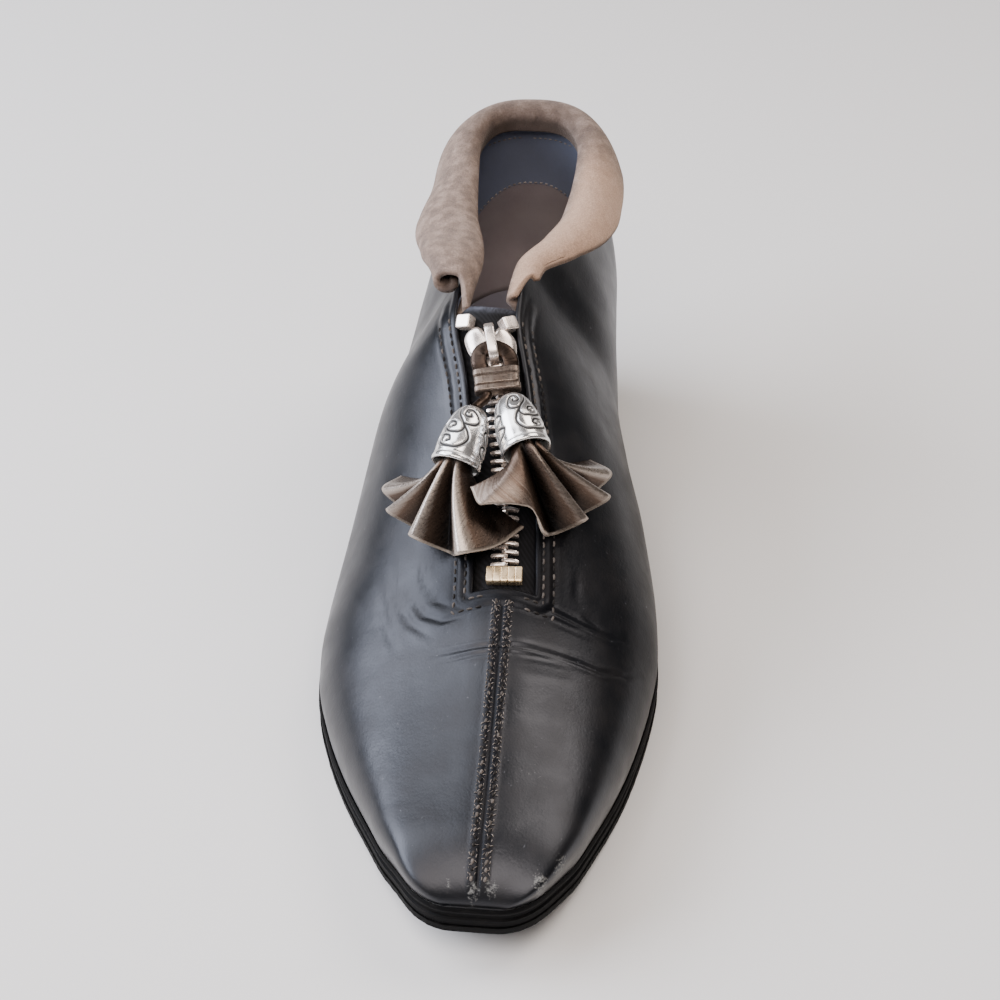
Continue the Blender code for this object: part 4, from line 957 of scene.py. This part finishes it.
def makeCuff():
    # section of leg, roll and hem carried along the collar edge
    shape, shade = cuffShape, cuffShade
    walked, place, *frames = collarPath()
    legs, rolls, hems = shape["legColumns"], shape["rollColumns"], shape["hemColumns"]
    roll = np.concatenate([np.zeros(legs), np.linspace(0, 1, rolls), np.ones(hems)])
    inside = np.concatenate([np.linspace(1, 0, legs, endpoint=False), np.zeros(rolls + hems)])
    turned = np.concatenate([np.zeros(legs + rolls), np.arange(1, hems + 1) / hems])
    start = shape["flapLag"] * smooth(roll, *shape["lagOver"])
    stop = walked[-1] - shape["medialTrim"] - shape["medialLag"] * smooth(roll, *shape["medialLagOver"])
    along = start + np.linspace(0, 1, shape["rows"])[:, None] * (stop - start)
    at = np.interp(along, walked, place)
    edge, up, out = (np.stack([np.interp(along, walked, way[:, k]) for k in range(3)], -1) for way in frames)
    leg, rise, reach, drop, hem, curl = (column(cuffTable, name, at) for name in list(cuffTable)[1:])
    # roll: a cubic Bezier over the collar edge; hem: an arc of the table's length turned under by its angle
    w = ((1 - roll) ** 3, 3 * roll * (1 - roll) ** 2, 3 * roll ** 2 * (1 - roll), roll ** 3)
    bend = np.radians(curl)
    radius = hem / bend
    across = ((w[2] * shape["rollReach"] + w[3]) * reach - (w[0] + w[1]) * shape["depth"]
              - radius * (1 - np.cos(bend * turned)))
    upward = ((w[1] * shape["rollInner"] + w[2] * shape["rollOuter"]) * rise - w[3] * drop
              - radius * np.sin(bend * turned) - leg * inside)
    points = edge + across[..., None] * out + upward[..., None] * up
    (broadHigh, broadLong), (shortHigh, shortLong) = shape["slack"]
    slack = broadHigh * np.sin(along / broadLong + 3 * roll)
    slack = slack + shortHigh * np.sin(along / shortLong - 4 * roll + 1) * roll
    slack = slack * smooth(roll, *shape["slackOver"]) * (1 - turned)
    points = points + gridNormals(points) * slack[..., None]
    legBack, rollBack = (1 - smooth(np.abs(at), *shade[name]) for name in ("legBack", "rollBack"))
    # painted shade under the curled hem, on the leg inside the collar at the back and inside the roll there
    paintedShade = shade["hem"] * smooth(turned, *shade["hemOver"])
    paintedShade = paintedShade + shade["leg"] * smooth(inside, *shade["legOver"]) * legBack
    paintedShade = paintedShade + shade["roll"] * rollBack * (1 - smooth(roll, *shade["rollOver"]))
    # lighter, warmer tan over the medial flap: partly the suede's colour, partly painted light
    tan = shade["tan"] * smooth(at, *shade["tanAt"]) * smooth(roll, *shade["tanOver"])
    piece = makePiece("cuffSuede", points, gridFaces(*points.shape[:2]), [suedeFinish],
                      ["cuff"], {"paintedShade": np.clip(paintedShade, 0, 1), "tan": tan}, closed=False, sharp=0)
    thicken(piece, shape["thick"], 0.0)


makeCuff()
print("cuff done")


# zip tape under the slot: its upper edge stays level in front view, so it rises to the sides of the instep
tapeShape = {
    "half": 10.6, "depth": 2.8, "thick": 0.8, "foot": 4.0, "top": 145.8, "arch": 0.055,
    "fuzz": 0.8, "fuzzOver": (-2.4, -0.2), "rows": 120, "columns": 41,
}


def makeTape():
    # strip at an even depth under the leather, its length set by the arched upper edge
    shape = tapeShape
    x = np.linspace(-1, 1, shape["columns"]) * shape["half"]
    top = shape["top"] + shape["arch"] * x ** 2
    along = np.linspace(0, 1, shape["rows"])[:, None]
    s = last["slotStart"] - shape["foot"] + along * (top - last["slotStart"] + shape["foot"])
    points = overInstep(s, np.broadcast_to(x, s.shape), np.full(s.shape, -shape["depth"]))
    uv = np.stack(np.broadcast_arrays(s, x[None]), -1)
    fuzz = shape["fuzz"] * smooth(s - top, *shape["fuzzOver"]) * rng.uniform(0.3, 1.0, s.shape)
    piece = makePiece("zipTape", points, gridFaces(*s.shape), [tapeFinish], ["zip_tape"],
                      {"fuzz": fuzz}, uv=uv, closed=False, outFrom=(0, 110, 0), sharp=0)
    thicken(piece, shape["thick"], -1.0)


# zip teeth: rounded bars across the tape in two rows that interlock at the middle; "fat" swells each head
toothShape = {
    "from": 81.6, "to": 130.0, "pitch": 2.1, "low": -2.6, "top": -0.25, "root": 3.7, "length": 4.5,
    "half": (0.52, 0.95), "power": 5.0, "around": 12, "fat": [0.8, 1.0, 1.0, 1.0, 0.92, 1.12, 0.7],
}


def makeTeeth():
    # outline along and out from the instep, carried across the tape and swelled by "fat"
    shape = toothShape
    count = int((shape["to"] - shape["from"]) / shape["pitch"])
    outline = roundedOutline(*shape["half"], shape["power"], shape["around"])[None, None]
    fat = np.array(shape["fat"])
    t = np.linspace(0, 1, len(fat))
    teeth = []
    for shift, side in ((0.0, -1.0), (0.5, 1.0)):
        s = shape["from"] + (np.arange(count) + shift) * shape["pitch"]
        x = side * (shape["root"] - shape["length"] * t)
        point, _, along, out = instepFrame(s[:, None], x[None])
        centre = point + (shape["low"] + shape["top"]) / 2 * out
        section = outline[..., :1] * along[:, :, None] + outline[..., 1:] * out[:, :, None]
        teeth.append(closeTube(centre[:, :, None] + fat[None, :, None, None] * section, centre))
    teeth = np.concatenate(teeth)
    makePiece("zipTeeth", teeth, repeatFaces(len(fat) + 2, shape["around"], len(teeth)), [nickelFinish],
              ["zip_chain"], sharp=40)


# zip slider: a plate with two lobes at the throat end, and an arched bridge of (s, height) for the pull
sliderShape = {
    "s": (128.6, 139.4), "low": -2.2, "top": 1.9, "notch": 2.6, "notchHalf": 0.3, "lobeRound": 1.3,
    "width": {"s":    [128.6, 129.4, 131.5, 134.0, 136.6, 138.3, 139.4],
              "half": [3.6,   4.4,   5.0,   6.2,   6.6,   6.0,   4.8]},
    "rows": 40, "columns": 41, "rimAcross": 7, "rimAlong": 9, "rimRound": 3,
    "bridge": [(129.9, 1.2), (130.1, 3.6), (130.9, 5.4), (132.4, 6.1), (134.6, 6.2), (136.3, 6.1),
               (137.5, 5.4), (138.1, 3.6), (138.3, 1.2)],
    "bridgeHalf": (1.25, 0.65), "bridgePower": 5.0, "bridgeRows": 44, "bridgeAround": 20,
}


def makeSlider():
    # plate: upper and lower sheet, drawn together at the rim by a superellipse in both directions
    shape = sliderShape
    first, final = shape["s"]
    u, v = np.linspace(0, 1, shape["rows"])[:, None], np.linspace(-1, 1, shape["columns"])[None]
    end = final - shape["notch"] * bell(v, shape["notchHalf"]) - shape["lobeRound"] * np.abs(v) ** 4
    s = first + u * (end - first)
    x = v * column(shape["width"], "half", s)
    acrossRim = np.clip(1 - np.abs(v) ** shape["rimAcross"], 0, 1)
    alongRim = np.clip(1 - np.abs(2 * u - 1) ** shape["rimAlong"], 0, 1)
    rim = acrossRim ** (1 / shape["rimRound"]) * alongRim ** (1 / shape["rimRound"])
    middle, thick = (shape["low"] + shape["top"]) / 2, (shape["top"] - shape["low"]) / 2
    sheets = [overInstep(s, x, middle + way * thick * rim).reshape(-1, 3) for way in (1, -1)]
    plate = np.concatenate(sheets)
    base = gridFaces(shape["rows"], shape["columns"])
    # bridge: a rounded bar swept along its route
    sRoute, hRoute = throughRows(shape["bridge"], shape["bridgeRows"])
    path = overInstep(sRoute, np.zeros(len(sRoute)), hRoute)
    wide = instepFrame(sRoute, np.zeros(len(sRoute)))[1]
    high = np.cross(unit(np.gradient(path, axis=0)), wide)
    outline = roundedOutline(*shape["bridgeHalf"], shape["bridgePower"], shape["bridgeAround"])
    bridge, bridgeFaces = sweep(path, wide, high, outline)
    faces = np.concatenate([base, base + len(plate) // 2, bridgeFaces + len(plate)])
    makePiece("zipSlider", np.concatenate([plate, bridge.reshape(-1, 3)]), faces, [nickelFinish],
              ["zip_slider"], sharp=50)


# stops: rounded blocks pressed on the tape; the upper two sit askew, the lower one is a row of ridges
stopTables = {
    "zipBottomStop": {
        "s": 78.9, "x": 0.0, "half": (4.5, 2.1), "low": -2.5, "top": 0.75, "turn": 0.0, "ridges": 5,
        "node": "zip_bottom_stop", "slot": "gilt_brass"},
    "zipTopStopLateral": {
        "s": 141.8, "x": -6.0, "half": (2.1, 1.9), "low": -2.2, "top": 1.1, "turn": -0.3, "ridges": 1,
        "node": "zip_top_stop_lateral", "slot": "bright_nickel"},
    "zipTopStopMedial": {
        "s": 141.8, "x": 6.0, "half": (2.1, 1.9), "low": -2.2, "top": 1.1, "turn": 0.3, "ridges": 1,
        "node": "zip_top_stop_medial", "slot": "bright_nickel"},
}
ridgeShape = {"power": 8.0, "upright": 0.2, "overlap": 1.04, "rows": 24, "around": 48}


def makeStop(name, stop):
    # each ridge is a boxy superellipsoid in the plane of the instep, turned about its own upright
    shape = ridgeShape
    point, across, along, out = instepFrame(np.array([stop["s"]]), np.array([stop["x"]]))
    wide = np.cos(stop["turn"]) * across + np.sin(stop["turn"]) * along
    long = np.cos(stop["turn"]) * along - np.sin(stop["turn"]) * across
    half = stop["half"][0] / stop["ridges"]
    ring = roundedOutline(half * shape["overlap"], stop["half"][1], shape["power"], shape["around"])
    tilt = np.linspace(-np.pi / 2, np.pi / 2, shape["rows"])
    spread = np.abs(np.cos(tilt)) ** shape["upright"]
    height = np.sign(np.sin(tilt)) * np.abs(np.sin(tilt)) ** shape["upright"]
    lift = (stop["low"] + stop["top"]) / 2 + height * (stop["top"] - stop["low"]) / 2
    xs, ys = (spread[:, None] * ring[None, :, k] for k in (0, 1))
    places = half * (2 * np.arange(stop["ridges"]) + 1 - stop["ridges"])
    ridges = [point + (xs + at)[..., None] * wide + ys[..., None] * long + lift[:, None, None] * out
              for at in places]
    faces = repeatFaces(shape["rows"], shape["around"], stop["ridges"])
    finish = brassFinish if stop["slot"] == "gilt_brass" else nickelFinish
    makePiece(name, np.concatenate(ridges), faces, [finish], [stop["node"]], sharp=35)


makeTape()
makeTeeth()
makeSlider()
for name, stop in stopTables.items():
    makeStop(name, stop)
print("zip done")


# zip pull: leather loop under the slider's bridge, keeper band, two cords, two bell beads, two pleated
# tassels; routes are rows of (s, x, height over the leather), "tone" is how bright the foil is
pullShape = {
    "loop": {
        "route": [(127.9, -3.0, 3.4), (129.8, -3.1, 4.1), (131.4, -2.8, 4.2), (132.6, -1.7, 3.8),
                  (133.1, 0.0, 3.6), (132.6, 1.7, 3.8), (131.4, 2.8, 4.2), (129.8, 3.1, 4.1),
                  (127.9, 3.0, 3.4)],
        "half": (2.15, 0.85), "power": 3.4, "rows": 60, "tone": 0.22},
    "cords": {
        "lateral": [(121.9, -2.3, 3.2), (121.3, -2.4, 3.3), (120.2, -2.9, 3.8), (118.9, -3.7, 5.2),
                    (117.9, -4.3, 6.0)],
        "medial": [(122.1, 2.0, 3.0), (121.6, 2.0, 3.2), (121.1, 2.0, 4.0), (120.5, 1.8, 5.3),
                   (119.9, 1.8, 6.3)],
        "half": (1.3, 1.2), "power": 2.0, "rows": 24, "tone": 0.3},
    "beads": {
        "lateral": [(117.6, -4.4, 6.2), (104.6, -8.6, 7.6)],
        "medial": [(119.6, 1.8, 6.6), (106.9, 3.6, 8.4)]},
    "strapAround": 18, "strapGirth": 4.0,
}
keeperShape = {
    "s":    [122.3, 122.6, 123.7, 124.0, 124.3, 126.0, 126.3, 126.6, 127.8, 128.1],
    "half": [5.6,   6.1,   6.1,   5.7,   5.9,   5.9,   5.7,   6.1,   6.1,   5.6],
    "low":  [0.9,   0.6,   0.6,   0.8,   0.7,   0.7,   0.8,   0.6,   0.6,   0.9],
    "top":  [4.5,   4.9,   4.9,   4.35,  4.7,   4.7,   4.35,  4.9,   4.9,   4.5],
    "rows": 48, "around": 48, "power": 5.0, "girth": 34.0, "length": 6.0, "tone": 0.6,
}


def makeFoilPiece(name, node, tone, points, faces, uv):
    # a closed piece of foiled leather in one tone
    makePiece(name, points, faces, [foilFinish], [node],
              {"tone": np.full(points.shape[:2], tone)}, uv=uv)


def strap(route, shape):
    # flat lace along a route
    s, x, h = throughRows(route, shape["rows"])
    path = overInstep(s, x, h)
    out = instepFrame(s, x)[3]
    run = unit(np.gradient(path, axis=0))
    wide = unit(np.cross(run, out))
    around = pullShape["strapAround"]
    outline = roundedOutline(*shape["half"], shape["power"], around)
    points, faces = sweep(path, wide, np.cross(wide, run), outline)
    walked = np.pad(walkedLength(path), 1, mode="edge")
    uv = np.broadcast_arrays(np.linspace(0, pullShape["strapGirth"], around)[None], walked[:, None])
    return points, faces, np.stack(uv, -1)


def makeKeeper():
    # band across the zip: rounded-box sections read from the table of half widths and heights
    shape = keeperShape
    rows, around = shape["rows"], shape["around"]
    s = np.linspace(shape["s"][0], shape["s"][-1], rows)
    half, low, top = (np.interp(s, shape["s"], shape[name])[:, None] for name in ("half", "low", "top"))
    point, across, _, out = instepFrame(s, np.zeros(rows))
    outline = roundedOutline(1.0, 1.0, shape["power"], around)
    points, faces = sweep(point + (low + top) / 2 * out, half * across, (top - low) / 2 * out, outline)
    uv = np.broadcast_arrays(np.linspace(0, shape["girth"], around)[None],
                             np.linspace(0, shape["length"], rows + 2)[:, None])
    makeFoilPiece("pullKeeper", "pull_keeper", shape["tone"], points, faces, np.stack(uv, -1))


# bead: turned bell with engraved scrolls and a turned ring near its mouth; "dark" is the antiquing inside
beadShape = {
    "length": 16.5, "rows": 120, "crowd": 0.9, "around": 200, "unrolled": 6.0,
    "wall": {"down": [0.0, 0.25, 0.5, 1.2, 2.0, 4.5, 8.0, 12.0, 14.2, 15.2, 16.0, 16.5],
             "r":    [1.8, 2.5, 2.9, 3.6, 4.2, 5.2, 6.0, 6.35, 6.3, 6.5, 6.55, 6.3]},
    "inside": {"down": [16.5, 15.5, 12.5, 9.5, 8.0, 0.0], "r": [5.8, 5.7, 5.5, 4.6, 1.4, 1.4],
               "dark": [0.1, 0.3, 0.6, 0.8, 0.9, 0.9]},
    "cutOver": (0.2, 0.5), "cutFrom": (0.5, 1.4), "cutDepth": 0.38,
    "ringAt": 14.9, "ringHalf": 0.25, "ringDepth": 0.12, "ringDark": 0.35,
    "scrollSize": 1.2, "scrollMiddle": 1.2, "faceRadius": 6.4,
}
# engraved scrolls: (mm across the face, mm down), a stem with three spirals, repeated three times round
scrollLines = [
    [(0.5, 0.6), (0.8, 2.0), (-0.2, 4.0), (-2.0, 6.1), (-2.8, 7.6)],
    [(-2.2, 6.4), (-3.2, 6.6), (-4.4, 6.3), (-5.0, 4.9), (-4.6, 3.2), (-3.1, 2.0), (-1.7, 2.4), (-1.6, 3.5),
     (-2.5, 4.3), (-3.5, 4.0), (-3.3, 3.4)],
    [(-2.8, 7.2), (-2.6, 8.4), (-1.6, 9.3), (0.1, 9.4), (2.0, 8.4), (2.4, 7.2), (1.5, 6.2), (-0.1, 6.5),
     (-0.5, 7.4), (0.3, 7.8)],
    [(-2.9, 7.4), (-3.7, 8.8), (-4.1, 10.5), (-3.4, 12.4), (-1.8, 13.5), (0.2, 13.4), (2.3, 12.4),
     (2.6, 11.1), (1.6, 10.3), (0.0, 10.6), (-0.5, 11.7), (0.4, 12.1)],
]


def beadFrame(side):
    # top of the bead, and unit directions along its bore, up from the leather and across
    ends = np.array(pullShape["beads"][side])
    top, mouth = overInstep(*ends.T)
    way = unit(mouth - top)
    out = instepFrame(*ends[1, :2])[3]
    up = unit(out - way * np.dot(out, way))
    return top, way, up, np.cross(way, up)


def scrolls(mirror):
    # lines drawn larger about the middle of the face; width on the face becomes distance round the wall
    shape = beadShape
    third = 2 * np.pi * shape["unrolled"] / 3
    lines = []
    for line in scrollLines:
        across, down = throughRows(line, 60)
        across = mirror * shape["scrollSize"] * (across + shape["scrollMiddle"]) - shape["scrollMiddle"]
        wallAt = shape["unrolled"] * np.arcsin(across / shape["faceRadius"])
        lines += [np.stack([wallAt + turn, down], 1) for turn in (-third, 0, third)]
    return lines


def makeBead(side):
    # a profile turned about the bore; distance to the scrolls on the unrolled wall cuts the grooves
    shape, inside = beadShape, beadShape["inside"]
    top, way, up, wide = beadFrame(side)
    around, rows = shape["around"], shape["rows"]
    down = np.linspace(0, 1, rows) ** shape["crowd"] * shape["length"]
    turn = np.linspace(-np.pi, np.pi, around, endpoint=False)
    flat = np.stack(np.broadcast_arrays(turn[None] * shape["unrolled"], down[:, None]), -1).reshape(-1, 2)
    girth = 2 * np.pi * shape["unrolled"]
    cut = np.min([nearLine(flat, line + [shift, 0])[0] for line in scrolls(1 if side == "lateral" else -1)
                  for shift in (-girth, 0, girth)], axis=0)
    groove = (1 - smooth(cut, *shape["cutOver"])).reshape(rows, around)
    groove = groove * smooth(down, *shape["cutFrom"])[:, None]
    ring = bell(down - shape["ringAt"], shape["ringHalf"])[:, None]
    r = column(shape["wall"], "r", down)[:, None] - shape["cutDepth"] * groove - shape["ringDepth"] * ring
    dark = np.clip(groove + shape["ringDark"] * ring, 0, 1)
    r, dark = (np.concatenate([outer, np.repeat(np.array(inside[name])[:, None], around, 1)])
               for outer, name in ((r, "r"), (dark, "dark")))
    down = np.concatenate([down, inside["down"]])
    spoke = np.sin(turn)[None, :, None] * wide + np.cos(turn)[None, :, None] * up
    points = top + down[:, None, None] * way + r[..., None] * spoke
    faces = gridFaces(len(down), around, wrapRows=True, wrapCols=True)
    makePiece("bead" + side.title(), points, faces, [silverFinish], ["bead_" + side],
              {"recess": dark}, sharp=0)


# tassel: pleated sheet gathered in the bead; hem rows run from the outer edge of each fan to its inner one
tasselShape = {
    "neck": 3.5, "arc": np.radians(118), "inBead": 1.8, "straight": 6.5, "thick": 0.9, "fall": 22.0,
    "rows": 40, "perFold": 18, "bulge": 1.1, "foldMiddle": 4.5, "foldHalf": 3.5,
    "raw": 0.8, "rawOver": (0.975, 0.99), "toneCurve": 1.5, "neckTone": 0.75,
}
# "tone" along each hem: painted shade in the pleats' valleys, a painted highlight on their crests, and a
# painted reflection on the medial fan's flat panel
hemTables = {
    "lateral": {"s": [114.0, 110.0, 105.0, 101.0, 96.0, 90.5, 86.5, 82.0, 83.5, 87.0, 90.5],
                "x": [-26.0, -28.0, -26.5, -26.0, -22.0, -20.0, -13.5, -8.0, -3.5, 1.0, 4.5],
                "h": [1.2, 5.5, 1.1, 7.5, 1.1, 8.0, 1.1, 7.5, 4.0, 1.2, 1.1],
                "tone": [0.8, 0.9, 0.02, 0.85, 0.04, 0.95, 0.0, 0.95, 0.4, 0.2, 0.3]},
    "medial": {"s": [119.0, 115.5, 110.0, 106.0, 100.5, 95.5, 92.0, 88.6, 92.6, 92.4, 97.4],
               "x": [23.0, 25.0, 23.0, 22.5, 18.5, 16.5, 12.0, 7.8, 4.0, -3.6, -5.6],
               "h": [1.2, 5.5, 1.1, 7.5, 1.1, 8.0, 1.2, 5.4, 8.2, 8.8, 8.2],
               "tone": [0.5, 0.9, 0.05, 0.8, 0.02, 0.8, 0.0, 0.45, 0.68, 0.7, 0.68]},
}


def makeTassel(side):
    # a fan of pleats: Bezier from the gathered neck through a straight run to the folded hem
    shape, table = tasselShape, hemTables[side]
    cols = shape["perFold"] * (len(table["s"]) - 1) + 1
    s, x, height, tone = throughRows(np.column_stack(list(table.values())), cols)
    hem = overInstep(s, x, height)
    top, way, up, wide = beadFrame(side)
    mouth = top + way * (beadShape["length"] - shape["inBead"])
    turn = np.linspace(-1, 1, cols) * shape["arc"]
    if np.dot(hem[0] - hem[-1], wide) > 0:
        turn = -turn
    neck = mouth + shape["neck"] * (np.sin(turn)[:, None] * wide + np.cos(turn)[:, None] * up)
    straight = neck + way * shape["straight"]
    down = np.linspace(0, 1, shape["rows"])[:, None]
    t = down[..., None]
    points = (1 - t) ** 2 * neck + 2 * t * (1 - t) * straight + t * t * hem
    # flutes start at the bead: halfway down they already bulge by their own hem height
    fold = ((height - shape["foldMiddle"]) / shape["foldHalf"])[None, :, None]
    points = points + (4 * t * (1 - t) * shape["bulge"] * fold) * up
    spread = walkedLength(hem)[None] * (0.5 + 0.5 * down)
    uv = np.stack(np.broadcast_arrays(spread, shape["fall"] * down), -1)
    raw = shape["raw"] * smooth(np.broadcast_to(down, points.shape[:2]), *shape["rawOver"])
    # the fan darkens towards its gathered neck in the bead: painted shade
    shade = shape["neckTone"] + (1 - shape["neckTone"]) * down
    tone = np.clip(tone, 0, 1)[None] ** shape["toneCurve"] * shade
    piece = makePiece("tassel" + side.title(), points, gridFaces(*points.shape[:2]), [foilFinish],
                      ["tassel_" + side], {"raw": raw, "tone": tone}, uv=uv, closed=False,
                      sharp=0)
    thicken(piece, shape["thick"], 0.0)


loop, cords = pullShape["loop"], pullShape["cords"]
makeFoilPiece("pullLoop", "pull_loop", loop["tone"], *strap(loop["route"], loop))
makeKeeper()
for side in ("lateral", "medial"):
    makeFoilPiece("pullCord" + side.title(), "pull_cord_" + side, cords["tone"], *strap(cords[side], cords))
    makeBead(side)
    makeTassel(side)
print("pull done")


# stage: pale floor, soft light from the left and above, camera at the photograph's angle; metres
stage = {
    "floor": "e9e8e6", "floorHalf": 3.0, "world": 0.05,
    "azimuth": 5.0, "elevation": 38.0, "distance": 0.480, "target": (0.0, -0.00125, 0.040), "lens": 63.36,
    # soft panels: degrees round from the heel's side, degrees up, size, watts, colour
    "lights": [("leftWindow", -95, 32, (1.2, 0.6), 26, "ecf1ff"),
               ("overLeft", -72, 60, (0.6, 0.6), 6.5, "f6f8ff"),
               ("overRight", 55, 56, (0.6, 0.6), 7, "fff4ec"),
               ("frontFill", -175, 58, (1.0, 0.7), 14, "fff3ec")],
    "lightAway": 1.2, "lightTarget": (0.0, 0.0, 0.05),
}


def addLight(name, turn, lift, size, watts, colour):
    # a soft panel on a dome round its target, facing it
    turn, lift = np.radians(turn), np.radians(lift)
    lamp = bpy.data.lights.new(name, "AREA")
    lamp.shape, lamp.size, lamp.size_y, lamp.energy = "RECTANGLE", size[0], size[1], watts
    lamp.color = linear(colour)[:3]
    made = bpy.data.objects.new(name, lamp)
    way = Vector((np.sin(turn) * np.cos(lift), np.cos(turn) * np.cos(lift), np.sin(lift)))
    made.location = way * stage["lightAway"] + Vector(stage["lightTarget"])
    made.rotation_euler = (-way).to_track_quat("-Z", "Y").to_euler()
    bpy.context.scene.collection.objects.link(made)


def makeStage():
    # floor, dim world, lights, and the camera on its angle
    mesh = bpy.data.meshes.new("floor")
    far = stage["floorHalf"]
    mesh.from_pydata([(-far, -far, 0), (far, -far, 0), (far, far, 0), (-far, far, 0)], [], [(0, 1, 2, 3)])
    floor = bpy.data.objects.new("floor", mesh)
    paper, _, _ = newFinish("paleFloorPaper", {"Base Color": linear(stage["floor"]), "Roughness": 0.9,
                                               "Specular IOR Level": 0.1})
    mesh.materials.append(paper)
    bpy.context.scene.collection.objects.link(floor)
    world = bpy.data.worlds.new("studio")
    world.use_nodes = True
    world.node_tree.nodes["Background"].inputs["Color"].default_value = (1, 1, 1, 1)
    world.node_tree.nodes["Background"].inputs["Strength"].default_value = stage["world"]
    bpy.context.scene.world = world
    for light in stage["lights"]:
        addLight(*light)
    azimuth, elevation = np.radians(stage["azimuth"]), np.radians(stage["elevation"])
    level = np.cos(elevation)
    away = Vector((np.sin(azimuth) * level, -np.cos(azimuth) * level, np.sin(elevation)))
    lens = bpy.data.cameras.new("camera")
    lens.lens, lens.sensor_width, lens.clip_start = stage["lens"], 36.0, 0.01
    camera = bpy.data.objects.new("camera", lens)
    camera.location = Vector(stage["target"]) + away * stage["distance"]
    camera.rotation_euler = (-away).to_track_quat("-Z", "Y").to_euler()
    bpy.context.scene.collection.objects.link(camera)
    bpy.context.scene.camera = camera


makeStage()
print("stage done")
